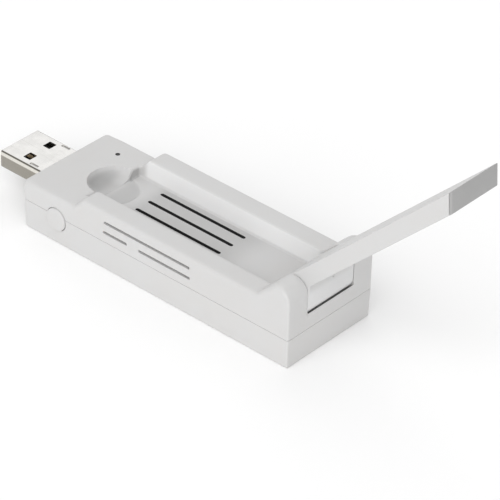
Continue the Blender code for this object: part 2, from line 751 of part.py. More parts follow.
def make_button():
    """Cap with a retaining flange behind the wall, and the switch's plunger that it pushes."""
    x = PLUG_END + BUTTON_X
    face = NEAR - BUTTON_PROUD
    flange = NEAR + WALL + FIT
    stem = flange + BUTTON_FLANGE
    tip = stem + BUTTON_STEM
    flange_r = BUTTON_R + 2.5 * FIT
    edge = FIT / 2
    profile = (
        (face, BUTTON_R - edge), (face + edge, BUTTON_R), (flange, BUTTON_R), (flange, flange_r),
        (stem, flange_r), (stem, BUTTON_STEM_R), (tip, BUTTON_STEM_R),
    )
    cap = turned_y(profile, x, BUTTON_Z, 32)
    add_piece("push_button", cap, white_plastic(), (x, face, BUTTON_Z))
    start = tip + FIT
    plunger = rod('Y', (x, BUTTON_Z), PLUNGER_R, start, start + PLUNGER_LENGTH, 16)
    add_piece("switch_plunger", plunger, black_plastic(), (x, start, BUTTON_Z))

    width, depth, height = SWITCH_SIZE
    front = start + BUTTON_TRAVEL + FIT
    body = box((x - width / 2, x + width / 2), (front, front + depth), (ON_BOARD, ON_BOARD + height))
    switch = add_piece("switch_body", body, plated_steel())
    bore_end = start + PLUNGER_LENGTH + BUTTON_TRAVEL + FIT
    cut(switch, rod('Y', (x, BUTTON_Z), PLUNGER_R + FIT, front - OVER, bore_end, 16), "plunger_bore")


# ---------------------------------------------------------------- hinge and antenna

def make_hinge_metal():
    """Hollow sleeve on the button's side for the aerial lead, steel pin and washer on the other."""
    start = NEAR + WALL + CHIMNEY_WIDTH - FIT
    stop = -ARM_HALF + SLEEVE_IN_ANTENNA
    tube = ((start, SLEEVE_R), (stop, SLEEVE_R), (stop, SLEEVE_BORE_R), (start, SLEEVE_BORE_R))
    brass = material("brass", (0.70, 0.52, 0.24), 0.35, 1.0)
    axis = (HINGE_X, 0, HINGE_Z)
    add_piece("hinge_sleeve", turned_y(tube, HINGE_X, HINGE_Z, 24, closed=True), brass, axis)
    pin = rod('Y', (HINGE_X, HINGE_Z), PIN_R, ARM_HALF - PIN_IN_ANTENNA, SLOT_HALF + PIN_IN_EAR)
    steel = material("steel", (0.58, 0.58, 0.58), 0.3, 1.0)
    add_piece("hinge_pin", pin, steel, axis)
    low = SLOT_HALF + FIT
    high = low + WASHER_THICKNESS
    hole = PIN_R + FIT
    rim = hole + WASHER_WIDTH
    ring = ((low, rim), (high, rim), (high, hole), (low, hole))
    add_piece("friction_washer", turned_y(ring, HINGE_X, HINGE_Z, 24, closed=True), steel, axis)


def tip_x(level, inset=0.0):
    """The slanted tip's X at a height, drawn back along X by inset."""
    return RAMP_TOP + TIP_GAP - (RAIL_Z - level) / math.tan(TIP_SLOPE) + inset


def antenna_outline():
    """Side outline of the folded housing: it repeats the rails' and ears' outline on the outside."""
    slope = math.radians(135)
    outline = ear_arc(slope) + [(ear_foot(), RAIL_Z)]
    setback = (TIP_PLATE + FIT) / math.sin(TIP_SLOPE)
    outline.append((tip_x(RAIL_Z, setback), RAIL_Z))
    outline.append((tip_x(ARM_UNDERSIDE, setback), ARM_UNDERSIDE))
    reach = sweep_radius()
    low = -math.asin((HINGE_Z - ARM_UNDERSIDE) / reach)
    high = -math.acos(HINGE_SETBACK / reach)
    outline += circle(HINGE_X, HINGE_Z, reach, 3, low, high - low)
    return outline


def make_antenna(hinge):
    """Housing, cover, tip plate and radiator, all on the hinge's empty."""
    axis = (HINGE_X, 0, HINGE_Z)

    def on_arm(name, shape, finish):
        return add_piece(name, shape, finish, axis, hinge)

    def cut_arm(target, shape, label):
        with_tool(target, shape, 'DIFFERENCE', label, axis, hinge)

    shape = prism(antenna_outline(), 'Y', -ARM_HALF, ARM_HALF)
    housing = on_arm("antenna_housing", shape, white_plastic())
    recess_half = ARM_HALF - ARM_WALL
    pocket_half = recess_half - ARM_LEDGE
    recess_x = (tip_x(ARM_UNDERSIDE) + TIP_PLATE + POCKET_TIP_WALL + ARM_THICKNESS, HINGE_X - POCKET_START)
    pocket_x = (recess_x[0] + ARM_LEDGE, recess_x[1] - ARM_LEDGE)
    seat = ARM_UNDERSIDE + COVER_THICKNESS + FIT
    roof = RAIL_Z - ARM_WALL
    cut_arm(housing, box(recess_x, (-recess_half, recess_half), (ARM_UNDERSIDE - OVER, seat)), "cover_recess")
    cut_arm(housing, box(pocket_x, (-pocket_half, pocket_half), (seat - OVER, roof)), "pocket")
    spot = (HINGE_X, HINGE_Z)
    duct_y = (-ARM_HALF + SLEEVE_IN_ANTENNA - OVER / 2, -ARM_HALF + SLEEVE_IN_ANTENNA + LEAD_DUCT)
    cut_arm(housing, rod('Y', spot, SLEEVE_R + FIT, -ARM_HALF - OVER, duct_y[1]), "sleeve_bore")
    duct_z = (roof - LEAD_DUCT, roof - 2 * SHY)
    cut_arm(housing, box((pocket_x[1] - OVER, HINGE_X), duct_y, duct_z), "lead_duct")
    pin_end = ARM_HALF - PIN_IN_ANTENNA - FIT
    cut_arm(housing, rod('Y', spot, PIN_R + FIT, pin_end, ARM_HALF + OVER), "pin_bore")

    cover_half = recess_half - FIT
    cover = box((recess_x[0] + FIT, recess_x[1] - FIT), (-cover_half, cover_half),
                (ARM_UNDERSIDE, ARM_UNDERSIDE + COVER_THICKNESS))
    on_arm("antenna_cover", cover, white_plastic())

    depth = TIP_PLATE / math.sin(TIP_SLOPE)
    wedge = [
        (tip_x(RAIL_Z), RAIL_Z), (tip_x(ARM_UNDERSIDE), ARM_UNDERSIDE),
        (tip_x(ARM_UNDERSIDE, depth), ARM_UNDERSIDE), (tip_x(RAIL_Z, depth), RAIL_Z),
    ]
    on_arm("antenna_tip_plate", prism(wedge, 'Y', -ARM_HALF, ARM_HALF), grey_plastic())

    half = pocket_half - FIT
    top = roof - FIT
    sheet_x = (pocket_x[0] + FIT, pocket_x[1] - RADIATOR_SHORT)
    sheet = box(sheet_x, (-half, half), (top - RADIATOR_THICKNESS, top))
    on_arm("antenna_radiator", sheet, gold_plate())


def lead(name, points, hinge=None):
    """A thin coaxial lead: a bevelled curve with filled ends along its own points."""
    curve = bpy.data.curves.new(name, 'CURVE')
    curve.dimensions = '3D'
    curve.bevel_depth = LEAD_R
    curve.bevel_resolution = 2
    curve.use_fill_caps = True
    spline = curve.splines.new('POLY')
    spline.points.add(len(points) - 1)
    offset = Vector((HINGE_X, 0, HINGE_Z)) if hinge else Vector()
    for spot, point in zip(spline.points, points):
        spot.co = (*(Vector(point) - offset), 1.0)
    curve.materials.append(black_plastic())
    piece = bpy.data.objects.new(name, curve)
    bpy.context.scene.collection.objects.link(piece)
    piece.parent = hinge
    return piece


def smooth_route(corners, radius, steps=5):
    """Straight runs with round bends: each inner corner becomes an arc-like curve."""
    route = [Vector(corners[0])]
    for before, corner, after in zip(corners, corners[1:], corners[2:]):
        corner = Vector(corner)
        enter = corner + (Vector(before) - corner).normalized() * radius
        leave = corner + (Vector(after) - corner).normalized() * radius
        for i in range(steps + 1):
            t = i / steps
            route.append(enter * (1 - t) ** 2 + corner * 2 * t * (1 - t) + leave * t ** 2)
    route.append(Vector(corners[-1]))
    return route


def make_aerial_lead(hinge):
    """From its socket on the board, through the ear's duct and the sleeve, into the antenna."""
    x = PLUG_END + LEAD_SOCKET_X
    y = -BOARD_HALF + LEAD_SOCKET_INSET
    width, depth, height = LEAD_SOCKET_SIZE
    block_on_board("lead_socket", LEAD_SOCKET_X - width / 2, y, (width, depth, height), gold_plate())
    level = ON_BOARD + height / 2
    duct_y = NEAR + WALL + CHIMNEY_WIDTH / 2
    split = -ARM_HALF + SLEEVE_IN_ANTENNA / 2
    base = [
        (x + width / 2 + FIT, y, level), (HINGE_X - 4 * LEAD_BEND, y, level),
        (HINGE_X, duct_y, level + LEAD_BEND), (HINGE_X, duct_y, HINGE_Z), (HINGE_X, split - FIT / 2, HINGE_Z),
    ]
    lead("aerial_lead_base", smooth_route(base, LEAD_BEND))
    duct_middle = -ARM_HALF + SLEEVE_IN_ANTENNA + LEAD_DUCT / 2
    duct_level = RAIL_Z - ARM_WALL - LEAD_DUCT / 2
    end = HINGE_X - POCKET_START - ARM_LEDGE - RADIATOR_SHORT + 2 * FIT
    arm = [
        (HINGE_X, split + FIT / 2, HINGE_Z), (HINGE_X, duct_middle, HINGE_Z),
        (HINGE_X - LEAD_BEND, duct_middle, duct_level), (end, duct_middle, duct_level),
    ]
    lead("aerial_lead_arm", smooth_route(arm, LEAD_BEND), hinge)


# ---------------------------------------------------------------- whole adapter

def main():
    for thing in list(bpy.data.objects):
        bpy.data.objects.remove(thing, do_unlink=True)
    make_upper_case()
    make_lower_case()
    make_label()
    make_usb_shell()
    make_usb_insulator()
    make_usb_contacts()
    make_board()
    make_shield_can()
    make_chips()
    make_light()
    make_button()
    make_hinge_metal()
    hinge = bpy.data.objects.new("antenna_hinge", None)
    hinge.matrix_world = Matrix.Translation((HINGE_X, 0, HINGE_Z)) @ Matrix.Rotation(OPEN_ANGLE, 4, 'Y')
    bpy.context.scene.collection.objects.link(hinge)
    make_antenna(hinge)
    make_aerial_lead(hinge)


main()
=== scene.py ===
# %% [markdown]
# # A USB wifi adapter with a flip-up antenna
# The adapter is a slim white case with a USB plug at one end and a flat antenna hinged at the
# other. The working model comes in first and fixes every place and size. This lesson then makes
# the fine outer pieces that stand for its plain shells, gives every piece its finish, and sets
# up a small white studio.

# %% Load the working model
import json
import math

import bmesh
import bpy
from mathutils import Matrix, Vector


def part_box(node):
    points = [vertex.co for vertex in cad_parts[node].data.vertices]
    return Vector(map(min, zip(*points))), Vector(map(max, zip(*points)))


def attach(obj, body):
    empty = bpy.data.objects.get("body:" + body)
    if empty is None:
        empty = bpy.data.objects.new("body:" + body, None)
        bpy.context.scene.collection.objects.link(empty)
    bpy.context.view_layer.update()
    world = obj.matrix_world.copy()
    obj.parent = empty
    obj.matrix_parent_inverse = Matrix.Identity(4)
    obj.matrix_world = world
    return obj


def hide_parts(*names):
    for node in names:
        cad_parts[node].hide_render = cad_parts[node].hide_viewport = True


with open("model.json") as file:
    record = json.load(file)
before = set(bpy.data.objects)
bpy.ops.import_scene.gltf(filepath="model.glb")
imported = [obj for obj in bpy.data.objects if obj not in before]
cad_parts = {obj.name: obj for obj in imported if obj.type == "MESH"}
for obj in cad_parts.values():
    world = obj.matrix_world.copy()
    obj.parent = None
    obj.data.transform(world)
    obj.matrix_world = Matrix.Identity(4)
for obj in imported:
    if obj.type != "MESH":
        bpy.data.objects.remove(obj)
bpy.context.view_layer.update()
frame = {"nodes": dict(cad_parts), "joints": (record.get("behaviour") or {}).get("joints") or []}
nodes = frame["nodes"]

# %% [markdown]
# ## Measures
# The shapes are drawn in millimetres, since the adapter is small, and turned into metres when
# they become objects. The driving places are read from the working model's boxes, so the fine
# pieces can't drift away from the pieces that they stand for.

# %% Places read from the working model
MM = 0.001


def node_box(name):
    """A node's lowest and highest corner in millimetres."""
    low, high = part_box(name)
    return low / MM, high / MM


upper_low, upper_high = node_box("upper_case")
lower_rim = node_box("lower_case")[1].z
PLUG_END, HINGE_END = upper_low.x, upper_high.x
HALF = upper_high.y
PARTING = (upper_low.z + lower_rim) / 2
EAR_TOP = upper_high.z
hinge = next(joint for joint in frame["joints"] if joint["name"] == "antenna_flip")
HINGE = Vector(hinge["pos_m"]) / MM
OPEN_ANGLE = math.radians(-hinge["range_deg"][0])
print("case %.1f mm long, parting line at %.2f mm" % (HINGE_END - PLUG_END, PARTING))

# %% Sizes that the boxes can't tell
PLATEAU = 12.2           # flat top at the plug end
RAIL = 15.0              # rails beside the folded antenna
FLOOR = 9.8              # floor of the cradle between them
WALL = 1.2
STEP = PLUG_END + 15.2   # where the plateau drops to the cradle's floor
RAMP = 3.8               # length of the S-shaped rise from plateau to rail
CRADLE_HALF = 8.2
SLOT_HALF = 7.45         # half the gap between the ears
EAR_R = 3.4
EAR_X = HINGE_END - EAR_R
EAR_Z = EAR_TOP - EAR_R
SWEEP_R = math.hypot(EAR_X - HINGE.x, EAR_Z - HINGE.z) + EAR_R
TROUGH_R = SWEEP_R + 0.3
PLUG_CORNER = 1.4        # upright corners at the plug end
HINGE_CORNER = 0.45      # crisper ones at the hinge end
EDGE = 1.0               # rounding along the top edges
HAIR = 0.12              # visible gap between two fitted pieces

# %% [markdown]
# ## Mesh helpers
# Most pieces are a grid of points skinned with quads, or a flat outline pushed into a block.
# Both are short functions on bmesh. Holes are cut with Boolean modifiers whose result is kept
# and whose cutters are thrown away, so that no helper object is left in the scene.

# %% Arcs, grids and blocks
def arc(cx, cz, radius, start, stop, steps):
    """Points of an arc, angles in degrees, both ends included."""
    turns = [math.radians(start + (stop - start) * i / steps) for i in range(steps + 1)]
    return [(cx + radius * math.cos(t), cz + radius * math.sin(t)) for t in turns]


def spread(start, stop, steps):
    """Evenly spaced values, both ends included."""
    return [start + (stop - start) * i / steps for i in range(steps + 1)]


def skin(rows):
    """Quads between closed rings of points, with a cap on the first and the last ring."""
    shape = bmesh.new()
    grid = [[shape.verts.new(point) for point in row] for row in rows]
    count = len(grid[0])
    for low, high in zip(grid, grid[1:]):
        for i in range(count):
            j = (i + 1) % count
            shape.faces.new((low[i], low[j], high[j], high[i]))
    shape.faces.new(grid[0])
    shape.faces.new(grid[-1])
    bmesh.ops.recalc_face_normals(shape, faces=shape.faces)
    return shape


def block(outline, axis, low, high):
    """A flat outline pushed along an axis; its points are (y, z), (x, z) or (x, y)."""
    order = {"X": (0, 1, 2), "Y": (1, 0, 2), "Z": (1, 2, 0)}[axis]

    def place(t, a, b):
        return [(t, a, b)[k] for k in order]

    return skin([[place(t, a, b) for a, b in outline] for t in (low, high)])


def brick(x, y, z):
    """A block from three (low, high) pairs."""
    return block([(x[0], y[0]), (x[1], y[0]), (x[1], y[1]), (x[0], y[1])], "Z", *z)


def rod(axis, a, b, radius, low, high, steps=40):
    return block(arc(a, b, radius, 0, 360 * (1 - 1 / steps), steps - 1), axis, low, high)


def turned(profile, axis, a, b, steps=64):
    """A profile of (place along the axis, radius) turned about a line through (a, b)."""
    order = {"X": (0, 1, 2), "Y": (1, 0, 2), "Z": (1, 2, 0)}[axis]
    rows = []
    for t, radius in profile:
        ring = arc(a, b, radius, 0, 360 * (1 - 1 / steps), steps - 1)
        rows.append([[(t, p, q)[k] for k in order] for p, q in ring])
    return skin(rows)


def capsule(cx, cy, length, width, steps=8):
    """A long slot's outline with round ends, along the first coordinate."""
    r = width / 2
    return arc(cx + length / 2 - r, cy, r, -90, 90, steps) + arc(cx - length / 2 + r, cy, r, 90, 270, steps)


def joined(shapes):
    """Several shapes that don't meet, as one mesh."""
    whole = bmesh.new()
    for shape in shapes:
        scrap = bpy.data.meshes.new("scrap")
        shape.to_mesh(scrap)
        shape.free()
        whole.from_mesh(scrap)
        bpy.data.meshes.remove(scrap)
    return whole


# %% Objects, cuts and soft edges
def make(name, shape, finish, crease=32):
    """Turn a shape in millimetres into an object in metres with smooth shading."""
    mesh = bpy.data.meshes.new(name)
    bmesh.ops.scale(shape, verts=shape.verts, vec=(MM, MM, MM))
    shape.to_mesh(mesh)
    shape.free()
    mesh.materials.append(finish)
    mesh.shade_smooth()
    mesh.set_sharp_from_angle(angle=math.radians(crease))
    piece = bpy.data.objects.new(name, mesh)
    bpy.context.scene.collection.objects.link(piece)
    return piece


def settle(piece, crease=32):
    """Keep what the modifiers make, as plain mesh."""
    bpy.context.view_layer.update()
    seen = piece.evaluated_get(bpy.context.evaluated_depsgraph_get())
    mesh = bpy.data.meshes.new_from_object(seen)
    mesh.set_sharp_from_angle(angle=math.radians(crease))
    piece.modifiers.clear()
    piece.data = mesh


def carve(piece, cuts, crease=32):
    """Cut each (shape, finish) out of a piece; the cut faces take the finish."""
    tools = []
    for shape, finish in cuts:
        tool = make("carving_tool", shape, finish)
        change = piece.modifiers.new("carve", "BOOLEAN")
        change.operation = "DIFFERENCE"
        change.solver = "EXACT"
        change.material_mode = "TRANSFER"
        change.object = tool
        tools.append(tool)
    settle(piece, crease)
    for tool in tools:
        bpy.data.objects.remove(tool, do_unlink=True)


def soften(shape, chosen, width, segments=3):
    """Round the edges of a bmesh that the test picks."""
    edges = [edge for edge in shape.edges if chosen(edge)]
    bmesh.ops.bevel(shape, geom=edges, offset=width, segments=segments, profile=0.5,
                    affect="EDGES", clamp_overlap=True)
    return shape


def upright(edge):
    """A test for edges that run up and down."""
    return abs(edge.verts[0].co.z - edge.verts[1].co.z) > 0.5


def sharp_edges(angle=30):
    """A test for edges whose faces meet at more than an angle."""
    limit = math.radians(angle)
    return lambda edge: len(edge.link_faces) == 2 and edge.calc_face_angle() > limit


def settle_report(piece):
    print("%s: %d faces" % (piece.name, len(piece.data.polygons)))
    return piece


# %% [markdown]
# ## Shader maths as expressions
# A node tree is easier to read as a sum than as a tangle of links. A Wire holds one output
# socket. Adding or multiplying wires puts in the Math node and returns a new wire. A Finish is
# one material with a method that makes any node from its type, its settings and its inputs.

# %% The Wire and Finish classes
class Wire:
    """One output socket, with arithmetic."""

    def __init__(self, finish, socket):
        self.finish = finish
        self.socket = socket

    def maths(self, operation, first, second):
        return self.finish.node("ShaderNodeMath", {"operation": operation}, {0: first, 1: second})

    def __add__(self, other):
        return self.maths("ADD", self, other)

    __radd__ = __add__

    def __sub__(self, other):
        return self.maths("SUBTRACT", self, other)

    def __rsub__(self, other):
        return self.maths("SUBTRACT", other, self)

    def __mul__(self, other):
        return self.maths("MULTIPLY", self, other)

    __rmul__ = __mul__

    def __pow__(self, other):
        return self.maths("POWER", self, other)

    def between(self, low, high):
        """0 below low, 1 above high and smooth in between."""
        return self.finish.node("ShaderNodeMapRange", {"interpolation_type": "SMOOTHSTEP"},
                                {"Value": self, "From Min": low, "From Max": high})


class Finish:
    """A material under construction."""

    def __init__(self, name):
        self.material = bpy.data.materials.new(name)
        self.material.use_nodes = True
        self.tree = self.material.node_tree
        self.shader = self.tree.nodes["Principled BSDF"]

    def node(self, kind, settings, inputs, out=0):
        """Add a node, set it up, feed its sockets, and return one of its outputs as a wire."""
        made = self.tree.nodes.new(kind)
        for key, value in settings.items():
            setattr(made, key, value)
        for key, value in inputs.items():
            self.feed(made.inputs[key], value)
        return Wire(self, made.outputs[out])

    def feed(self, socket, value):
        if isinstance(value, Wire):
            self.tree.links.new(value.socket, socket)
        else:
            socket.default_value = value

    def set(self, **values):
        """Feed the shader's sockets; Base_Color stands for Base Color."""
        for key, value in values.items():
            self.feed(self.shader.inputs[key.replace("_", " ")], value)
        return self

    def place(self, x=1.0, y=1.0, z=1.0):
        """The surface point in millimetres, stretched along each axis."""
        spot = self.node("ShaderNodeTexCoord", {}, {}, "Object")
        per_mm = (x / MM, y / MM, z / MM)
        return self.node("ShaderNodeVectorMath", {"operation": "MULTIPLY"}, {0: spot, 1: per_mm})

    def parts(self):
        """The surface point's three coordinates in millimetres."""
        spot = self.place()
        return [self.node("ShaderNodeSeparateXYZ", {}, {0: spot}, axis) for axis in range(3)]

    def noise(self, spot, size, detail=2.0, rough=0.5):
        """Soft noise, size in millimetres."""
        inputs = {"Vector": spot, "Scale": 1 / size, "Detail": detail, "Roughness": rough}
        return self.node("ShaderNodeTexNoise", {}, inputs, "Fac")

    def mix(self, factor, first, second):
        """Blend two colours."""
        settings = {"data_type": "RGBA", "clamp_factor": True}
        return self.node("ShaderNodeMix", settings, {0: factor, 6: first, 7: second}, 2)

    def bump(self, height, depth, strength=1.0):
        """Relief from a height between 0 and 1; depth in millimetres."""
        inputs = {"Height": height, "Distance": depth * MM, "Strength": strength}
        return self.node("ShaderNodeBump", {}, inputs, "Normal")


def grey(level, warm=0.0):
    """A nearly neutral colour; warm tips it towards yellow."""
    return (level * (1 + warm), level, level * (1 - warm), 1.0)


# %% [markdown]
# ## White moulded plastic
# The case, the antenna and the button are one white ABS. A real moulding isn't flat white: the
# tool leaves a fine spark-eroded grain, the gloss drifts a little where the melt cooled slowly,
# and fingers leave faint duller patches. Each of these is a noise at its own scale. Painted shade
# darkens the scoop, the step and the cradle's floor round the slots, and painted light brightens
# the cradle's far wall and the face of the antenna's root. These are painted from the surface's
# own place on the piece, so they stay put when the light or the view changes.

# %% The white moulding
def case_painted_shade_and_light(finish, colour):
    """Painted shade and light on the case: shaded scoop and step, shaded floor round the slots, lit far
    wall.
    """
    x, y, z = finish.parts()
    # Painted shade in the scoop's bowl and saucer.
    reach = ((x - STEP) * (x - STEP) + y * y) ** 0.5
    disc = reach.between(5.95, 5.6) * z.between(8.7, 8.9)
    high_side = x.between(STEP + 0.3, STEP - 0.1)
    bowl = disc * high_side * z.between(11.9, 10.4)
    deep = x.between(STEP - 1, STEP - 4)
    bowl = bowl * (0.50 + 0.50 * deep) * (0.30 + 0.70 * y.between(-4.4, -1.8))
    bowl = bowl * (1.0 - 0.7 * (1.0 - deep) * y.between(1.2, 3.2))
    saucer = disc * (1.0 - high_side) * z.between(9.80, 9.40)
    # Painted shade on the cradle's floor round the slots.
    floor = z.between(9.95, 9.85) * z.between(9.0, 9.2)
    slots = x.between(PLUG_END + 21, PLUG_END + 25) * x.between(PLUG_END + 56, PLUG_END + 48)
    haze = floor * slots * y.between(-7.2, -5.8) * y.between(8.1, 7.6)
    # Painted light on the cradle's far wall.
    wall = y.between(8.0, 8.15) * y.between(8.75, 8.6) * z.between(9.9, 10.6) * z.between(15.0, 14.5)
    wall = wall * x.between(STEP + 1, STEP + 3) * x.between(HINGE_END - 9, HINGE_END - 11)
    # Painted shade on the wall of the step beside the scoop.
    step_wall = x.between(STEP - 0.5, STEP - 0.3) * x.between(STEP + 0.5, STEP + 0.3) * z.between(12.2, 11.6)
    step_wall = step_wall * y.between(4.6, 5.4) * y.between(8.3, 7.8)
    shade = bowl * 0.31 + saucer * 0.17 + haze * 0.17 + step_wall * 0.24
    colour = finish.mix(shade, colour, grey(0.02, 0.02))
    return finish.mix(wall * 0.85, colour, grey(0.86))


def white_moulding(name, level, gloss, marks=None):
    finish = Finish(name)
    spot = finish.place()
    drift = finish.noise(spot, 14.0, 3.0)
    touch = finish.noise(spot, 5.0, 4.0).between(0.52, 0.72)
    grain = finish.noise(spot, 0.16, 2.0, 0.6)
    colour = finish.mix(drift.between(0.35, 0.65), grey(level, 0.004), grey(level * 0.985, 0.010))
    relief = finish.bump(grain, 0.010, 0.35)
    if marks:
        colour = marks(finish, colour)
    finish.set(Base_Color=colour, Roughness=gloss + touch * 0.06 + grain * 0.05, Normal=relief)
    finish.set(IOR=1.5, Subsurface_Weight=0.12, Subsurface_Radius=(1.0, 0.9, 0.8))
    finish.set(Subsurface_Scale=0.5 * MM)
    print("finish", name)
    return finish.material


WHITE = white_moulding("white_abs_case", 0.59, 0.40, case_painted_shade_and_light)


def root_face_painted_light(finish, colour):
    """Painted light: the root's face between the ears is painted a little lighter."""
    x, y, z = finish.parts()
    panel = x.between(HINGE_END - 2.5, HINGE_END - 1.0) * z.between(17.5, 15.5)
    return finish.mix(panel, colour, grey(0.67))


WHITE_ANTENNA = white_moulding("white_abs_antenna", 0.59, 0.38, root_face_painted_light)
WHITE_BUTTON = white_moulding("white_abs_button", 0.59, 0.36)

# %% [markdown]
# ## Darker plastics
# The hollows inside the case and the walls of the floor's cooling slots carry a near-black
# painted shade, which is why the slots look black. The antenna's tip is a grey moulding with a
# slightly coarser grain.

# %% Plain plastics in other colours
def moulding(name, level, gloss, grain_size=0.16, warm=0.0, patch=0.12):
    finish = Finish(name)
    spot = finish.place()
    drift = finish.noise(spot, 6.0, 3.0).between(0.3, 0.7)
    grain = finish.noise(spot, grain_size, 2.0, 0.6)
    colour = finish.mix(drift, grey(level, warm), grey(level * (1 - patch), warm))
    finish.set(Base_Color=colour, Roughness=gloss + grain * 0.12, Normal=finish.bump(grain, 0.012, 0.4))
    return finish.material


# Painted shade: a near-black finish for the hollows and the floor slots' walls, where there is only shade.
HOLLOW_PAINTED_SHADE = moulding("painted_shade_black", 0.022, 0.7, 0.3)
TIP_GREY = moulding("grey_abs_tip", 0.36, 0.42, 0.2, 0.006, 0.04)
BLACK = moulding("black_nylon", 0.03, 0.42)
SMOKED = moulding("smoked_light_pipe", 0.012, 0.16, 0.5)
SHEATH = moulding("lead_sheath", 0.035, 0.5, 0.25)
EPOXY = moulding("chip_epoxy", 0.045, 0.5, 0.1)
SILICONE = moulding("silicone_pad", 0.30, 0.75, 0.4, -0.03)
print("plastics made")

# %% [markdown]
# ## Metals
# The plug's shell is rolled steel with bright nickel over it. Rolling leaves streaks along the
# strip, and each push into a port leaves a few long scuffs. Stretching a noise along the plug
# gives both. The other metals are the same recipe in other colours.

# %% Metals with a rolled or turned grain
PLUG_LOW, PLUG_HIGH = node_box("usb_shell")
PLUG_Z = (PLUG_LOW.z + PLUG_HIGH.z) / 2
PLUG_HALF_Y, PLUG_HALF_Z, PLUG_ROUND = PLUG_HIGH.y, PLUG_HIGH.z - PLUG_Z, 0.6
PRESSED = PLUG_LOW.x + 9.7   # middle of the small pressed grooves
PRESSED_SIDE, PRESSED_LENGTH, PRESSED_WIDTH = 5.0, 2.5, 0.7


def plug_painted_reflection(finish, colour):
    """Painted reflections and shade on the plug: darker sides, pale and dark stripes at each upper bend,
    shaded grooves.
    """
    x, y, z = finish.parts()
    off_centre = (y * y) ** 0.5
    # Painted reflections: darker browner sides with a pale stripe, and a dark line along each upper bend.
    side = off_centre.between(5.60, 5.70)
    band = z.between(PLUG_Z + 0.95, PLUG_Z + 1.25)
    line = side * z.between(PLUG_Z + 1.92, PLUG_Z + 2.02)
    # Painted shade in the pressed grooves.
    pressed = off_centre.between(4.6, 4.7) * off_centre.between(5.4, 5.3)
    pressed = pressed * x.between(PRESSED - 1.35, PRESSED - 1.15) * x.between(PRESSED + 1.35, PRESSED + 1.15)
    flank = finish.mix(band, (0.33, 0.31, 0.27, 1.0), (0.78, 0.76, 0.70, 1.0))
    colour = finish.mix(side, colour, flank)
    colour = finish.mix(pressed * 0.5, colour, (0.30, 0.29, 0.27, 1.0))
    return finish.mix(line * 0.85, colour, (0.09, 0.08, 0.06, 1.0))


def metal(name, colour, gloss, stretch=(0.08, 1.0, 1.0), scuffs=0.10, marks=None):
    finish = Finish(name)
    streak = finish.noise(finish.place(*stretch), 0.12, 3.0, 0.6)
    cloud = finish.noise(finish.place(), 2.5, 3.0)
    long_way = finish.place(stretch[0] * 0.4, stretch[1], stretch[2])
    scuff = finish.noise(long_way, 0.5, 2.0).between(0.60, 0.70)
    dull = tuple(part * 0.88 for part in colour)
    tint = finish.mix(cloud.between(0.35, 0.65) * 0.6 + scuff * 0.4, (*colour, 1.0), (*dull, 1.0))
    if marks:
        tint = marks(finish, tint)
    relief = finish.bump(streak, 0.004, 0.3)
    gloss = gloss + streak * 0.06 + scuff * scuffs
    finish.set(Base_Color=tint, Metallic=1.0, Roughness=gloss, Normal=relief)
    return finish.material


NICKEL = metal("nickel_plate", (0.79, 0.78, 0.76), 0.22, (0.08, 1.0, 1.0), 0.10, plug_painted_reflection)
TIN = metal("tin_plate", (0.60, 0.61, 0.60), 0.32)
GOLD = metal("gold_flash", (0.86, 0.62, 0.25), 0.22)
# Painted shade: the plug's contacts are darkened for the shade inside the plug.
SHADED_CONTACT = metal("shade_darkened_contact", (0.30, 0.23, 0.14), 0.30)
STEEL = metal("turned_steel", (0.56, 0.56, 0.57), 0.26, (1.0, 0.08, 1.0))
BRASS = metal("turned_brass", (0.74, 0.54, 0.24), 0.28, (1.0, 0.08, 1.0))
print("metals made")

# %% [markdown]
# ## Circuit board, label and lamp
# The board is green solder mask over copper, and a cell pattern with flat edges gives the faint
# raised areas of copper under it. The label on the underside is a blank matt film, and the
# lamp's body is clear yellow resin.

# %% Board, film and resin
def solder_mask():
    finish = Finish("green_solder_mask")
    spot = finish.place()
    settings = {"feature": "F1", "distance": "MANHATTAN"}
    cells = finish.node("ShaderNodeTexVoronoi", settings, {"Vector": spot, "Scale": 0.55}, "Distance")
    copper = cells.between(0.34, 0.37)
    colour = finish.mix(copper, (0.012, 0.13, 0.05, 1.0), (0.03, 0.21, 0.085, 1.0))
    finish.set(Base_Color=colour, Roughness=0.34 + copper * 0.08, Normal=finish.bump(copper, 0.02, 0.5))
    return finish.material


def label_film():
    finish = Finish("blank_label_film")
    fibre = finish.noise(finish.place(), 0.35, 4.0, 0.65)
    colour = finish.mix(fibre, grey(0.70, 0.01), grey(0.78, 0.004))
    finish.set(Base_Color=colour, Roughness=0.5 + fibre * 0.15, Normal=finish.bump(fibre, 0.006, 0.3))
    return finish.material


def lamp_resin():
    finish = Finish("lamp_resin")
    haze = finish.noise(finish.place(), 0.4, 2.0)
    colour = finish.mix(haze, (0.80, 0.74, 0.42, 1.0), (0.86, 0.84, 0.62, 1.0))
    finish.set(Base_Color=colour, Roughness=0.18 + haze * 0.1, IOR=1.5)
    return finish.material


MASK, FILM, RESIN = solder_mask(), label_film(), lamp_resin()
print("board, film and resin made")

# %% [markdown]
# ## Finishes for the pieces that stay
# The pieces inside, the tongue in the plug and the label underneath keep the working model's
# shape. Each gets its finish in its own material slot, chosen by name.

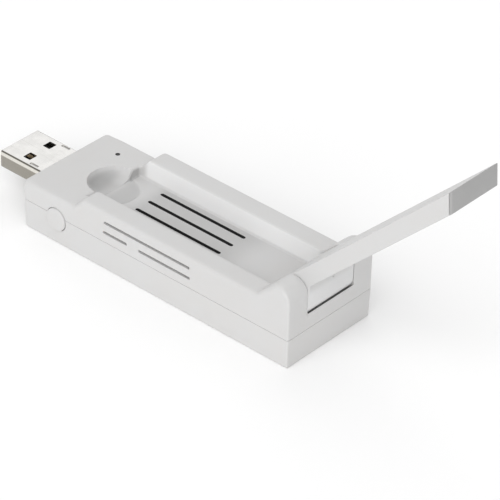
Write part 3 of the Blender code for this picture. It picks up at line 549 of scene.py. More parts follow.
# %% Give each kept node its finish
KEPT = {
    "usb_insulator": BLACK, "switch_plunger": BLACK, "main_board": MASK, "rating_label": FILM,
    "shield_can": TIN, "crystal": TIN, "switch_body": TIN, "hinge_pin": STEEL, "friction_washer": STEEL,
    "hinge_sleeve": BRASS, "antenna_radiator": GOLD, "lead_socket": GOLD, "status_led": RESIN,
    "aerial_lead_base": SHEATH, "aerial_lead_arm": SHEATH, "thermal_pad": SILICONE,
    "power_inductor": TIP_GREY, "wifi_chip": EPOXY, "flash_chip": EPOXY, "regulator_chip": EPOXY,
    "amplifier_chip_1": EPOXY, "amplifier_chip_2": EPOXY, "usb_contact_1": SHADED_CONTACT,
    "usb_contact_2": SHADED_CONTACT, "usb_contact_3": SHADED_CONTACT, "usb_contact_4": SHADED_CONTACT,
}
for node_name, node_finish in KEPT.items():
    node_mesh = nodes[node_name].data
    node_mesh.materials.clear()
    node_mesh.materials.append(node_finish)
print(len(KEPT), "kept nodes have a finish")

# %% [markdown]
# ## The camera
# The camera looks down on the hinge end from the button's side with a long lens, so that the
# adapter's edges stay nearly parallel. It is turned about the object by an azimuth and an
# elevation, and rolled a little.

# %% Camera
AZIMUTH, ELEVATION, ROLL = math.radians(48.917), math.radians(34.67), math.radians(1.506)
DISTANCE = 728.49
AIM = Vector((0.8, 0.5, 8.0))
SIDESTEP, RISE = 11.299, -2.244
LENS = 241.524


def make_camera():
    back = Vector((math.cos(ELEVATION) * math.cos(AZIMUTH), -math.cos(ELEVATION) * math.sin(AZIMUTH),
                   math.sin(ELEVATION)))
    level = (-back).cross(Vector((0, 0, 1))).normalized()
    upright = level.cross(-back)
    right = math.cos(ROLL) * level + math.sin(ROLL) * upright
    up = -math.sin(ROLL) * level + math.cos(ROLL) * upright
    eye = (AIM + SIDESTEP * right + RISE * up + DISTANCE * back) * MM
    camera = bpy.data.objects.new("studio_camera", bpy.data.cameras.new("studio_camera"))
    turn = Matrix((right, up, back)).transposed().to_4x4()
    camera.matrix_world = Matrix.Translation(eye) @ turn
    camera.data.lens = LENS
    camera.data.sensor_width = 36.0
    camera.data.clip_start = 0.01
    bpy.context.scene.collection.objects.link(camera)
    bpy.context.scene.camera = camera
    print("camera %.0f mm away" % DISTANCE)


make_camera()

# %% [markdown]
# ## The upper case
# The top of the case is one flowing surface: plateau, S-shaped rise, rails, round ears, and a
# cradle down the middle that ends in a trough for the antenna's root. It could be a box with
# Booleans and bevels, but bevels break up where so many edges meet. So it is drawn as a ribbon.
# Two side views run along the case station by station: the ridge over the rails and ears, and
# the valley down the middle. Each station is one row of points across the case, with its own
# rounding at the outer edge, at the rail's inner edge and at the cradle's floor.

# %% The ridge: over the plateau, rails and ears
UPPER_FOOT = PARTING + HAIR / 2
RAMP_TOP = STEP + RAMP
EXIT_Z = HINGE.z - math.sqrt(TROUGH_R ** 2 - (HINGE_END - HINGE.x) ** 2)
EXIT_ROUND = 0.35
SCOOP_R = 5.85
SCOOP_START = STEP - SCOOP_R - 0.3
SCOOP_STOP = STEP + SCOOP_R + 0.3
EAR_FOOT = EAR_X - EAR_R * math.sqrt(0.5) - (EAR_Z + EAR_R * math.sqrt(0.5) - RAIL)
FOOT_R = 1.5


def station(x, z, facing):
    """A point on a side view and the way that the surface faces there, in degrees."""
    return x, z, math.cos(math.radians(facing)), math.sin(math.radians(facing))


def arc_stations(cx, cz, radius, start, stop, steps, inward=False):
    flip = 180 if inward else 0
    turns = spread(start, stop, steps)
    points = arc(cx, cz, radius, start, stop, steps)
    return [station(x, z, turn + flip) for (x, z), turn in zip(points, turns)]


def plug_end_stations():
    """End face, its round top edge and the plateau up to just before the step."""
    rows = [station(PLUG_END, z, 180) for z in spread(UPPER_FOOT, PLATEAU - PLUG_CORNER, 4)[:-1]]
    rows += arc_stations(PLUG_END + PLUG_CORNER, PLATEAU - PLUG_CORNER, PLUG_CORNER, 180, 90, 8)
    rows += [station(x, PLATEAU, 90) for x in spread(PLUG_END + PLUG_CORNER, SCOOP_START, 8)[1:]]
    return rows + [station(x, PLATEAU, 90) for x in spread(SCOOP_START, STEP - 0.8, 22)[1:]]


def ramp_station(x):
    """The S-shaped rise: half a cosine wave."""
    t = min(1.0, max(0.0, (x - STEP) / RAMP))
    z = PLATEAU + (RAIL - PLATEAU) * (1 - math.cos(math.pi * t)) / 2
    slope = (RAIL - PLATEAU) * math.pi / RAMP * math.sin(math.pi * t) / 2
    return station(x, z, 90 + math.degrees(math.atan(slope)))


STEP_STATIONS, SCOOP_STATIONS, FOOT_STEPS, SLOPE_STEPS, EAR_STEPS, DOWN_STEPS = 17, 22, 4, 4, 20, 5
MIDDLE = [PLUG_END + x for x in (24.0, 30.0, 38.0, 46.0, 54.0, 61.0, 65.0, 67.5)]


def ridge_stations():
    rows = plug_end_stations()
    halfway = STEP + RAMP * 0.55
    rows += [ramp_station(x) for x in spread(STEP - 0.8, halfway, STEP_STATIONS)[1:]]
    rows += [ramp_station(x) for x in spread(halfway, SCOOP_STOP, SCOOP_STATIONS)[1:]]
    rows += [station(x, RAIL, 90) for x in MIDDLE]
    reach = FOOT_R * math.tan(math.radians(22.5))
    rows += arc_stations(EAR_FOOT - reach, RAIL + FOOT_R, FOOT_R, 270, 315, FOOT_STEPS, True)
    foot, crest = rows[-1], arc(EAR_X, EAR_Z, EAR_R, 135, 135, 1)[0]
    rows += [station(foot[0] + (crest[0] - foot[0]) * t, foot[1] + (crest[1] - foot[1]) * t, 135)
             for t in spread(0, 1, SLOPE_STEPS)[1:-1]]
    rows += arc_stations(EAR_X, EAR_Z, EAR_R, 135, 0, EAR_STEPS)
    rows += [station(HINGE_END, z, 0) for z in spread(EAR_Z, EXIT_Z - EXIT_ROUND, DOWN_STEPS)[1:]]
    return rows + [station(HINGE_END, z, 0) for z in spread(EXIT_Z - EXIT_ROUND, UPPER_FOOT, 4)[1:]]


# %% The valley: down the step, along the cradle and round the trough
def valley_stations():
    rows = plug_end_stations()
    lip, toe = 0.6, 0.5
    rows += [station(STEP - lip - 0.05, PLATEAU, 90)]
    rows += arc_stations(STEP - lip, PLATEAU - lip, lip, 90, 0, 6)
    rows += [station(STEP, z, 0) for z in spread(PLATEAU - lip, FLOOR + toe, 3)[1:-1]]
    rows += arc_stations(STEP + toe, FLOOR + toe, toe, 180, 270, 6, True)
    rows += [station(x, FLOOR, 90) for x in spread(STEP + toe, SCOOP_STOP, SCOOP_STATIONS)[1:]]
    rows += [station(x, FLOOR, 90) for x in MIDDLE]
    reach = FOOT_R * math.tan(math.radians(22.5))
    rows += [station(x, FLOOR, 90) for x, z in arc(EAR_FOOT - reach, 0, FOOT_R, 270, 315, FOOT_STEPS)]
    drop = 180 + math.degrees(math.asin((HINGE.z - FLOOR) / TROUGH_R))
    start = HINGE.x + TROUGH_R * math.cos(math.radians(drop))
    rows += [station(x, FLOOR, 90) for x in spread(rows[-1][0], start, SLOPE_STEPS)[1:]]
    leave = 360 - math.degrees(math.acos((HINGE_END - HINGE.x) / TROUGH_R)) - 3
    steps = EAR_STEPS + DOWN_STEPS - 2
    rows += arc_stations(HINGE.x, HINGE.z, TROUGH_R, drop, leave, steps, True)[1:]
    rows += [station(HINGE_END - 0.07, EXIT_Z - 0.03, 60), station(HINGE_END, EXIT_Z - EXIT_ROUND, 0)]
    return rows + [station(HINGE_END, z, 0) for z in spread(EXIT_Z - EXIT_ROUND, UPPER_FOOT, 4)[1:]]


ridge, valley = ridge_stations(), valley_stations()
print("ridge and valley have", len(ridge), "and", len(valley), "stations")

# %% [markdown]
# ## The thumb scoop
# A round scoop straddles the step, so that a thumb can lift the antenna's tip. On the plateau's
# side it is a deep bowl whose floor climbs to a crease at the step, and on the cradle's side a
# shallow saucer. A soft minimum joins it to the surfaces round it, which gives the rounded rim.

# %% Scoop heights
SCOOP_FLOOR = 9.25       # deepest part of the bowl
SAUCER_DEPTH = 0.55
RIM_SOFT = 0.35


def soft_min(a, b, width):
    """The lower of two heights, blended where they are within a width of each other."""
    near = max(width - abs(a - b), 0.0) / width
    return min(a, b) - near * near * width / 4


def smooth(t):
    t = min(1.0, max(0.0, t))
    return t * t * (3 - 2 * t)


def scoop_height(x, y):
    """Height of the scoop's surface at a place, or sky-high outside its rim."""
    share = math.hypot(x - STEP, y) / SCOOP_R
    if share >= 1:
        return 100.0
    if x <= STEP:
        floor = SCOOP_FLOOR + (FLOOR - SCOOP_FLOOR) * smooth((x - STEP + 4.6) / 4.6)
        return PLATEAU - (PLATEAU - floor) * math.sqrt(1 - share ** 3.5)
    saucer = SAUCER_DEPTH * (1 - math.exp(-(x - STEP) / 1.1))
    return FLOOR - saucer * math.sqrt(1 - share ** 4)


def scooped(x, y, z):
    """A surface height with the scoop taken out of it."""
    return soft_min(z, scoop_height(x, y), RIM_SOFT)


# %% Rows across the case
RAIL_ROUND, CRADLE_ROUND, EAR_EDGE, LEAN = 0.45, 0.55, 1.5, 0.02
SLOT_ROUND = 0.18        # crisper edges where the ears face the antenna
CRADLE_COLUMNS = 28
ear_start = len(ridge) - 4 - DOWN_STEPS - EAR_STEPS - SLOPE_STEPS - FOOT_STEPS


def outer_round(k):
    """Radius of the outer edge at a station: it eases from one stretch to the next."""
    x, z, nx, nz = ridge[k]
    if k < ear_start:
        share = smooth((x - PLUG_END - PLUG_CORNER) / 4)
        return PLUG_CORNER * 0.98 + (EDGE - PLUG_CORNER * 0.98) * share
    up = smooth((x - EAR_FOOT) / 4)
    down = smooth((x - EAR_X) / EAR_R * 1.02)
    return (EDGE + (EAR_EDGE - EDGE) * up) * (1 - down) + HINGE_CORNER * down


def wall_place(k):
    """How far the cradle's wall stands from the middle: it narrows at the ears."""
    return CRADLE_HALF + (SLOT_HALF - CRADLE_HALF) * smooth((k - ear_start) / FOOT_STEPS)


def half_row(k):
    """Points of one station from the outer side in to the middle, as (x, y, z)."""
    x, z, nx, nz = ridge[k]
    vx, vz, mx, mz = valley[k]
    wall, radius = wall_place(k), outer_round(k)
    gap = math.hypot(x - vx, z - vz)
    edge = RAIL_ROUND + (SLOT_ROUND - RAIL_ROUND) * smooth((k - ear_start) / FOOT_STEPS)
    top, toe = min(edge, gap / 2), min(CRADLE_ROUND, gap / 2)
    row = []
    for turn in spread(0, math.pi / 2, 6):
        depth = radius * (1 - math.sin(turn))
        row.append((x - nx * depth, HALF - radius * (1 - math.cos(turn)), z - nz * depth))
    for y in spread(HALF - radius, wall + edge, 4)[1:-1]:
        row.append((x, y, z))
    for turn in spread(0, math.pi / 2, 5):
        depth = top * (1 - math.cos(turn))
        row.append((x - nx * depth, wall + edge * (1 - math.sin(turn)), z - nz * depth))
    for turn in spread(0, math.pi / 2, 5):
        lift = toe * (1 - math.sin(turn))
        row.append((vx + mx * lift, wall - LEAN - CRADLE_ROUND * (1 - math.cos(turn)), vz + mz * lift))
    for y in spread(wall - LEAN - CRADLE_ROUND, 0, CRADLE_COLUMNS)[1:]:
        row.append((vx, y, vz))
    return [(px, py, scooped(px, py, pz) if py < wall else pz) for px, py, pz in row]


def ribbon(rows):
    """Skin the rows, then close the two flat sides and the flat bottom."""
    shape = bmesh.new()
    grid = [[shape.verts.new(point) for point in row] for row in rows]
    for low, high in zip(grid, grid[1:]):
        for i in range(len(low) - 1):
            shape.faces.new((low[i], low[i + 1], high[i + 1], high[i]))
    shape.faces.new([row[0] for row in grid])
    shape.faces.new([row[-1] for row in grid])
    shape.faces.new(grid[0] + grid[-1][::-1])
    bmesh.ops.recalc_face_normals(shape, faces=shape.faces)
    return shape


def upper_body():
    rows = []
    for k in range(len(ridge)):
        half = half_row(k)
        rows.append([(x, -y, z) for x, y, z in half] + half[-2::-1])
    return ribbon(rows)


# %% [markdown]
# ## Hollows, slots and openings
# The block becomes a shell by cutting its hollows from below, with a near-black painted shade on
# their walls. The floor slots open into the hollow, so its painted shade shows through them. The
# side slots are white right through. A step round the foot of the wall takes the lower half's
# tongue, so the parting line is a fine groove with white behind it and not an open crack.

# %% Cuts of the upper case
CEILING = FLOOR - WALL
HIGH_HOLLOW = PLUG_END + 7.6   # the plateau is solid from here on, round the scoop
BUTTON_X, BUTTON_Z, BUTTON_R = PLUG_END + 10.6, 6.4, 2.8
LIGHT_X, LIGHT_Y, LIGHT_R = PLUG_END + 8.4, HALF - 5.2, 0.56
LIP_INSET, LIP_HEIGHT = 0.42, 0.8
SLOT_MIDDLE, SLOT_LENGTH, SLOT_WIDTH = PLUG_END + 36.3, 25.0, 0.9
SIDE_SLOTS = ((25.1, 25.3, 12.4), (24.8, 7.2, 9.8), (35.3, 15.2, 9.8))   # start, length, height
SIDE_SLOT_WIDTH = 0.72
SLEEVE_BORE_R, PIN_BORE_R, SEAT_R = 1.62, 1.32, 2.5
CHIMNEY_HALF, CHIMNEY_DEPTH = 1.6, 2.2


def plan(inset, steps=8):
    """The case's outline from above, drawn in on all sides."""
    low, high, half = PLUG_END + inset, HINGE_END - inset, HALF - inset
    p, h = max(PLUG_CORNER - inset, 0.2), max(HINGE_CORNER - inset, 0.2)
    return (arc(low + p, -half + p, p, 180, 270, steps) + arc(high - h, -half + h, h, 270, 360, steps)
            + arc(high - h, half - h, h, 0, 90, steps) + arc(low + p, half - p, p, 90, 180, steps))


def plan_block(levels):
    """A solid through the outline at each (height, inset)."""
    return skin([[(x, y, z) for x, y in plan(inset)] for z, inset in levels])


def main_hollow():
    ceiling = HINGE.z - TROUGH_R - WALL
    start, foot, end = HINGE.x - TROUGH_R, UPPER_FOOT - 1, HINGE_END - WALL
    outline = [(PLUG_END + WALL, foot), (end, foot), (end, ceiling), (start, ceiling), (start, CEILING),
               (HIGH_HOLLOW, CEILING), (HIGH_HOLLOW, PLATEAU - WALL), (PLUG_END + WALL, PLATEAU - WALL)]
    return block(outline, "Y", -HALF + WALL, HALF - WALL)


def rail_hollows():
    ear, roof = HINGE.x - EAR_R - 1.5, HINGE.z - 3.0
    foot, end = UPPER_FOOT - 1, HINGE_END - WALL - 0.05
    outline = [(RAMP_TOP, foot), (end, foot), (end, roof), (ear, roof)]
    outline += [(ear, RAIL - WALL), (RAMP_TOP, RAIL - WALL)]
    inner, outer = CRADLE_HALF + WALL, HALF - WALL - 0.05
    return joined([block(outline, "Y", inner, outer), block(outline, "Y", -outer, -inner)])


def floor_slots():
    outlines = [capsule(SLOT_MIDDLE, y, SLOT_LENGTH, SLOT_WIDTH) for y in (-6.0, -2.0, 2.0, 6.0)]
    return joined([block(outline, "Z", CEILING - 0.5, FLOOR + 1) for outline in outlines])


def side_slots():
    slots = []
    for start, length, height in SIDE_SLOTS:
        outline = capsule(PLUG_END + start + length / 2, height, length, SIDE_SLOT_WIDTH)
        slots.append(block(outline, "Y", -HALF - 1, -HALF + WALL + 0.5))
        slots.append(block(outline, "Y", HALF - WALL - 0.5, HALF + 1))
    return joined(slots)


def rounded_section(half_y, half_z, radius, steps=6):
    """Rounded rectangle across the plug, as (y, z)."""
    y, z = half_y - radius, half_z - radius
    return (arc(y, PLUG_Z + z, radius, 0, 90, steps) + arc(-y, PLUG_Z + z, radius, 90, 180, steps)
            + arc(-y, PLUG_Z - z, radius, 180, 270, steps) + arc(y, PLUG_Z - z, radius, 270, 360, steps))


def plug_opening():
    section = rounded_section(PLUG_HALF_Y + HAIR, PLUG_HALF_Z + HAIR, PLUG_ROUND + HAIR)
    return block(section, "X", PLUG_END - 1, PLUG_END + WALL + 1)


def button_hole():
    return rod("Y", BUTTON_X, BUTTON_Z, BUTTON_R + HAIR, -HALF - 1, -HALF + WALL + 0.4, 64)


def light_hole():
    """The bore for the light pipe and the pocket for its flange."""
    bore = rod("Z", LIGHT_X, LIGHT_Y, LIGHT_R, CEILING - 0.5, PLATEAU + 1)
    pocket = rod("Z", LIGHT_X, LIGHT_Y, 1.35, CEILING - 0.6, PLATEAU - WALL)
    return bore, pocket


def hinge_bores():
    """Sleeve bore and lead duct in the near ear, pin bore and washer seat in the far ear."""
    duct = -HALF + WALL + CHIMNEY_DEPTH
    sleeve = rod("Y", HINGE.x, HINGE.z, SLEEVE_BORE_R, duct - 1, -SLOT_HALF + 1)
    chimney = brick((HINGE.x - CHIMNEY_HALF, HINGE.x + CHIMNEY_HALF), (-HALF + WALL + 0.1, duct),
                    (HINGE.z - 4, HINGE.z + CHIMNEY_HALF))
    pin = rod("Y", HINGE.x, HINGE.z, PIN_BORE_R, SLOT_HALF - 1, SLOT_HALF + 4)
    seat = rod("Y", HINGE.x, HINGE.z, SEAT_R, SLOT_HALF - 1, SLOT_HALF + 0.9)
    return sleeve, chimney, pin, seat


# %% Make the upper case
def make_upper_case():
    case = make("upper_shell", upper_body(), WHITE)
    print("ribbon: %d faces" % len(case.data.polygons))
    bore, pocket = light_hole()
    sleeve, chimney, pin, seat = hinge_bores()
    rebate_inset, rebate_top = LIP_INSET - 0.05, PARTING + LIP_HEIGHT + 0.1
    rebate = plan_block(((UPPER_FOOT - 1, rebate_inset), (rebate_top, rebate_inset)))
    # The hollows, the rebate, the floor slots and the light pipe's bores take the near-black painted shade.
    shade_painted_cuts = [main_hollow(), rail_hollows(), rebate, floor_slots(), bore, pocket, chimney]
    plain = [side_slots(), plug_opening(), button_hole(), joined([sleeve, pin]), seat]
    carve(case, [(shape, HOLLOW_PAINTED_SHADE) for shape in shade_painted_cuts] + [(shape, WHITE) for shape in plain])
    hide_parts("upper_case")
    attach(case, "case")
    return settle_report(case)


make_upper_case()

# %% [markdown]
# ## The lower case
# A shallow tray. Its sides lean in a little towards the foot, as a moulding has to, and a tongue
# stands up inside the rim.

# %% Make the lower case
LOWER_TOP = PARTING - HAIR / 2
DRAFT, FOOT_ROUND = 0.25, 0.3
POST_R, POST_INSET = 1.5, 3.2


def tray():
    """Outside of the tray with its rounded foot and rim, then the tongue."""
    levels = []
    for turn in spread(0, math.pi / 2, 5):
        levels.append((FOOT_ROUND * (1 - math.cos(turn)), DRAFT + FOOT_ROUND * (1 - math.sin(turn))))
    levels += [(LOWER_TOP - 0.12, 0.0), (LOWER_TOP - 0.03, 0.03), (LOWER_TOP, 0.12), (LOWER_TOP, LIP_INSET)]
    return plan_block(levels + [(PARTING + LIP_HEIGHT, LIP_INSET)])


def board_posts():
    low, high = node_box("main_board")
    outline_x = (low.x + POST_INSET, high.x - POST_INSET)
    spots = [(x, side * (high.y - POST_INSET)) for x in outline_x for side in (-1, 1)]
    return joined([rod("Z", x, y, POST_R, WALL - 0.05, low.z - 0.1) for x, y in spots])


def label_recess():
    low, high = node_box("rating_label")
    outline = [(low.x - 0.1, low.y - 0.1), (high.x + 0.1, low.y - 0.1), (high.x + 0.1, high.y + 0.1),
               (low.x - 0.1, high.y + 0.1)]
    recess = block(outline, "Z", -1, high.z + 0.1)
    return soften(recess, upright, 0.6, 5)


def make_lower_case():
    case = make("lower_shell", tray(), WHITE)
    hollow = plan_block(((WALL, DRAFT + WALL), (PARTING, WALL), (PARTING + 2, WALL)))
    plain = [plug_opening(), button_hole(), label_recess()]
    # The tray's hollow takes the near-black painted shade.
    carve(case, [(hollow, HOLLOW_PAINTED_SHADE)] + [(shape, WHITE) for shape in plain])
    posts = make("board_posts", board_posts(), WHITE)
    for piece in (case, posts):
        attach(piece, "case")
    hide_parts("lower_case")
    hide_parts("lower_case")
    settle_report(case)
    return settle_report(posts)


make_lower_case()

# %% [markdown]
# ## Button and light pipe
# Both are turned from a profile. The button's cap stands a little proud of the wall, with a soft
# edge. The light pipe is a smoked rod with a domed end and a flange that seats under the roof.

# %% Make the button and the light pipe
BUTTON_PROUD = 0.42
PIPE_SINK, PIPE_DOME = 0.12, 0.05
PIPE_FLANGE, PIPE_FLANGE_R = (10.2, 10.6), 1.1


def corner(along, radius, size, steps=5):
    """Rounded end of a turned profile, from the flat face to the side."""
    return [(along + size * (1 - math.sin(t)), radius - size * (1 - math.cos(t)))
            for t in spread(math.pi / 2, 0, steps)]


def make_button():
    stem_end = node_box("push_button")[1].y
    face, flange = -HALF - BUTTON_PROUD, -HALF + WALL + 0.1
    profile = [(face, 0.6)] + corner(face, BUTTON_R, 0.35)
    profile += [(flange, BUTTON_R), (flange, BUTTON_R + 0.25), (flange + 0.6, BUTTON_R + 0.25),
                (flange + 0.6, 1.0), (stem_end, 1.0)]
    button = make("button_cap", turned(profile, "Y", BUTTON_X, BUTTON_Z), WHITE_BUTTON)
    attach(button, "button")
    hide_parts("push_button")
    return settle_report(button)


def make_light_pipe():
    foot, tip = [point.z for point in node_box("light_pipe")]
    end, radius = PLATEAU - PIPE_SINK, LIGHT_R - 0.07
    low, high = PIPE_FLANGE
    profile = [(end + PIPE_DOME * (1 - t * t), radius * t) for t in spread(0.15, 1.0, 5)]
    profile += [(tip - 0.5, radius), (high, radius), (high, PIPE_FLANGE_R)]
    profile += [(low, PIPE_FLANGE_R), (low, radius), (foot, radius)]
    pipe = make("smoked_pipe", turned(profile, "Z", LIGHT_X, LIGHT_Y, 40), SMOKED)
    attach(pipe, "case")
    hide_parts("light_pipe")
    return settle_report(pipe)


make_button()
make_light_pipe()

# %% [markdown]
# ## The antenna
# The antenna is drawn folded, where it has the same side view as the rails and ears, and its
# shapes are then turned about the hinge before they become objects. Only the small pin mark on
# the root is drawn in place.

# %% The housing's side view and its turn
ARM_HALF, ARM_UNDERSIDE = 7.1, 11.0
ARM_NEAR, ARM_FAR = -7.40, 7.18   # a little nearer the button's side
TIP_SLANT = math.radians(50)
TIP_PLATE = 0.7
ARM_WALL, ARM_LEDGE, COVER_THICK = 1.0, 0.8, 1.0
COVER_GAP = 0.09
LEAD_DUCT = (3.15, 5.1)          # across the antenna, from its near side
PIN_DEPTH = 3.7
DIMPLE_Y, DIMPLE_Z, DIMPLE_R, DIMPLE_DEPTH = 0.5, 17.06, 0.32, 0.1


def tip_x(level, inset=0.0):
    """Where the slanted tip is at a height, drawn back along the antenna by inset."""
    return RAMP_TOP + 0.05 - (RAIL - level) / math.tan(TIP_SLANT) + inset


def opened(shape):
    """Turn a folded shape about the hinge to where it stands open."""
    turn = Matrix.Rotation(OPEN_ANGLE, 4, "Y")
    about = Matrix.Translation(HINGE) @ turn @ Matrix.Translation(-HINGE)
    bmesh.ops.transform(shape, matrix=about, verts=shape.verts)
    return shape


def housing_outline():
    setback = (TIP_PLATE + 0.08) / math.sin(TIP_SLANT)
    low = -math.degrees(math.asin((HINGE.z - ARM_UNDERSIDE) / SWEEP_R))
    high = -math.degrees(math.acos((HINGE_END - HINGE.x) / SWEEP_R))
    outline = arc(EAR_X, EAR_Z, EAR_R, 0, 135, 28)
    reach = FOOT_R * math.tan(math.radians(22.5))
    outline += arc(EAR_FOOT - reach, RAIL + FOOT_R, FOOT_R, 315, 270, 6)
    outline += [(tip_x(RAIL, setback), RAIL), (tip_x(ARM_UNDERSIDE, setback), ARM_UNDERSIDE)]
    return outline + arc(HINGE.x, HINGE.z, SWEEP_R, low, high, 4)


def along_sides(edge):
    """A test for edges that lie in either side face."""
    return abs(edge.verts[0].co.y - edge.verts[1].co.y) < 0.001


# %% Make the housing
RIM_ROUND = 0.2


def make_housing():
    shape = soften(block(housing_outline(), "Y", ARM_NEAR, ARM_FAR), along_sides, RIM_ROUND, 4)
    housing = make("antenna_body", opened(shape), WHITE_ANTENNA)
    cover_low, cover_high = RECESS
    half = ARM_HALF - ARM_WALL
    seat = ARM_UNDERSIDE + COVER_THICK
    recess = brick((cover_low, cover_high), (-half, half), (ARM_UNDERSIDE - 1, seat + 0.1))
    pocket_half = half - ARM_LEDGE
    pocket_x = (cover_low + ARM_LEDGE, cover_high - ARM_LEDGE)
    pocket = brick(pocket_x, (-pocket_half, pocket_half), (seat, RAIL - ARM_WALL))
    duct_y = tuple(place - ARM_HALF for place in LEAD_DUCT)
    sleeve = rod("Y", HINGE.x, HINGE.z, SLEEVE_BORE_R, ARM_NEAR - 1, duct_y[1])
    duct = brick((pocket_x[1] - 0.5, HINGE.x), duct_y, (RAIL - 2.9, RAIL - 1.05))
    pin = rod("Y", HINGE.x, HINGE.z, PIN_BORE_R, ARM_HALF - PIN_DEPTH, ARM_HALF + 1)
    cuts = [opened(cut) for cut in (recess, pocket, sleeve, duct, pin)]
    carve(housing, [(cut, WHITE_ANTENNA) for cut in cuts + [panel_dimple()]])
    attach(housing, "antenna")
    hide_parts("antenna_housing")
    return settle_report(housing)


def panel_dimple():
    """A pin mark on the root's face, drawn where it shows with the antenna open."""
    return rod("X", DIMPLE_Y, DIMPLE_Z, DIMPLE_R, HINGE_END - DIMPLE_DEPTH, HINGE_END + 1, 20)


RECESS = (tip_x(ARM_UNDERSIDE) + 6.8, HINGE.x - 8.0)   # where the cover lies along the antenna
make_housing()

# %% Make the cover and the tip plate
def make_cover():
    low, high = RECESS
    half = ARM_HALF - ARM_WALL - COVER_GAP
    along = (low + COVER_GAP, high - COVER_GAP)
    cover = brick(along, (-half, half), (ARM_UNDERSIDE, ARM_UNDERSIDE + COVER_THICK))

    def outer(edge):
        return all(corner_point.co.z < ARM_UNDERSIDE + 0.01 for corner_point in edge.verts)

    piece = make("antenna_lid", opened(soften(cover, outer, 0.15, 3)), WHITE_ANTENNA)
    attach(piece, "antenna")
    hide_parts("antenna_cover")
    return settle_report(piece)


def make_tip_plate():
    depth = TIP_PLATE / math.sin(TIP_SLANT)
    wedge = [(tip_x(RAIL), RAIL), (tip_x(ARM_UNDERSIDE), ARM_UNDERSIDE),
             (tip_x(ARM_UNDERSIDE, depth), ARM_UNDERSIDE), (tip_x(RAIL, depth), RAIL)]
    shape = block(wedge, "Y", ARM_NEAR, ARM_FAR)

    def slanted_side(edge):
        return along_sides(edge) and abs(edge.verts[0].co.z - edge.verts[1].co.z) > 2

    shape = soften(soften(shape, slanted_side, 0.3, 4), sharp_edges(40), 0.12, 2)
    plate = make("grey_tip", opened(shape), TIP_GREY)
    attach(plate, "antenna")
    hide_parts("antenna_tip_plate")
    return settle_report(plate)


make_cover()
make_tip_plate()

# %% [markdown]
# ## The plug's shell
# A rolled sleeve with a rounded mouth, two windows top and bottom for the port's springs, and
# two small pressed grooves behind the windows.

# %% Make the plug's shell
MOUTH = PLUG_LOW.x
SHEET = 0.3
LATCH_SIDE = 3.1
WINDOW_START, WINDOW_LENGTH, WINDOW_HALF = 5.45, 2.1, 1.2


def sleeve_block(levels, shrink=0.0):
    """A solid along the plug through rounded sections at each (place, inset)."""
    rows = []
    for x, inset in levels:
        inset += shrink
        radius = max(PLUG_ROUND - inset, 0.08)
        section = rounded_section(PLUG_HALF_Y - inset, PLUG_HALF_Z - inset, radius)
        rows.append([(x, y, z) for y, z in section])
    return skin(rows)


def windows():
    """Square windows with rounded corners, two above and two below."""
    start, holes = MOUTH + WINDOW_START, []
    for side in (-LATCH_SIDE, LATCH_SIDE):
        for low in (PLUG_Z - PLUG_HALF_Z - 1, PLUG_Z + PLUG_HALF_Z - SHEET - 0.1):
            y = (side - WINDOW_HALF, side + WINDOW_HALF)
            hole = brick((start, start + WINDOW_LENGTH), y, (low, low + 1 + SHEET + 0.1))
            holes.append(soften(hole, upright, 0.2, 4))
    return joined(holes)


def pressed_grooves():
    """Two shallow grooves along the plug on each broad face."""
    grooves, depth = [], 0.2
    for side in (-PRESSED_SIDE, PRESSED_SIDE):
        outline = capsule(PRESSED, side, PRESSED_LENGTH, PRESSED_WIDTH)
        grooves.append(block(outline, "Z", PLUG_Z + PLUG_HALF_Z - depth, PLUG_Z + PLUG_HALF_Z + 1))
        grooves.append(block(outline, "Z", PLUG_Z - PLUG_HALF_Z - 1, PLUG_Z - PLUG_HALF_Z + depth))
    return joined(grooves)


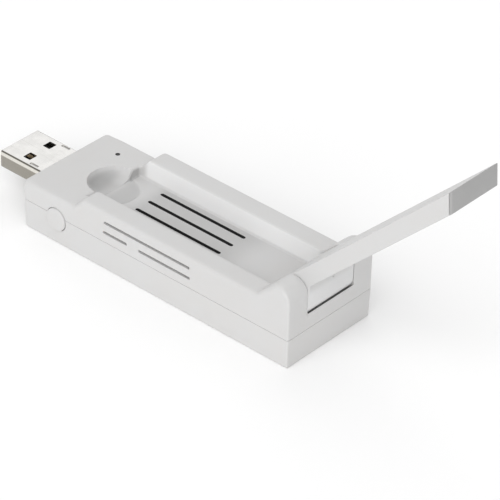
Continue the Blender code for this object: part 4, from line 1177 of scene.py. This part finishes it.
def make_plug():
    lip = ((MOUTH, 0.13), (MOUTH + 0.03, 0.05), (MOUTH + 0.13, 0.0), (PLUG_HIGH.x, 0.0))
    sleeve = make("plug_sleeve", sleeve_block(lip), NICKEL)
    bore = [(MOUTH - 0.5, -0.12), (MOUTH + 0.02, -0.11), (MOUTH + 0.14, -0.02)]
    bore += [(MOUTH + 0.3, 0.0), (PLUG_HIGH.x + 1, 0.0)]
    carve(sleeve, [(sleeve_block(bore, SHEET), NICKEL), (windows(), NICKEL), (pressed_grooves(), NICKEL)])
    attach(sleeve, "case")
    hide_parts("usb_shell")
    return settle_report(sleeve)


make_plug()

# %% [markdown]
# ## Studio
# A pale floor, a near-white surround and two broad lamps: a strong one on the button's side, and
# a weak one from the far side and the plug's end.

# %% Floor, surround and lamps
def make_floor():
    shape = bmesh.new()
    bmesh.ops.create_grid(shape, x_segments=4, y_segments=4, size=2.0 / MM)
    for vertex in shape.verts:
        vertex.co.z = -0.02
    finish = Finish("studio_floor")
    mottle = finish.noise(finish.place(), 60.0, 2.0)
    finish.set(Base_Color=finish.mix(mottle, grey(0.965), grey(0.97)), Roughness=0.9)
    floor = make("studio_floor", shape, finish.material)
    return floor


def make_lamp(name, toward, strength, spread_angle):
    """A broad far lamp; toward points from the case to the lamp."""
    lamp = bpy.data.objects.new(name, bpy.data.lights.new(name, "SUN"))
    lamp.data.energy = strength
    lamp.data.angle = math.radians(spread_angle)
    lamp.rotation_euler = Vector(toward).to_track_quat("Z", "Y").to_euler()
    bpy.context.scene.collection.objects.link(lamp)
    return lamp


def make_world(strength):
    world = bpy.data.worlds.new("studio_surround")
    world.use_nodes = True
    surround = world.node_tree.nodes["Background"]
    surround.inputs["Color"].default_value = (1.0, 1.0, 1.0, 1.0)
    surround.inputs["Strength"].default_value = strength
    bpy.context.scene.world = world


make_floor()
make_world(0.68)
make_lamp("key_lamp", (0.15, -0.38, 0.316), 1.62, 70)
make_lamp("back_lamp", (-0.54, 0.62, 0.57), 0.34, 60)
bpy.context.scene.view_settings.view_transform = "Standard"
print("studio ready")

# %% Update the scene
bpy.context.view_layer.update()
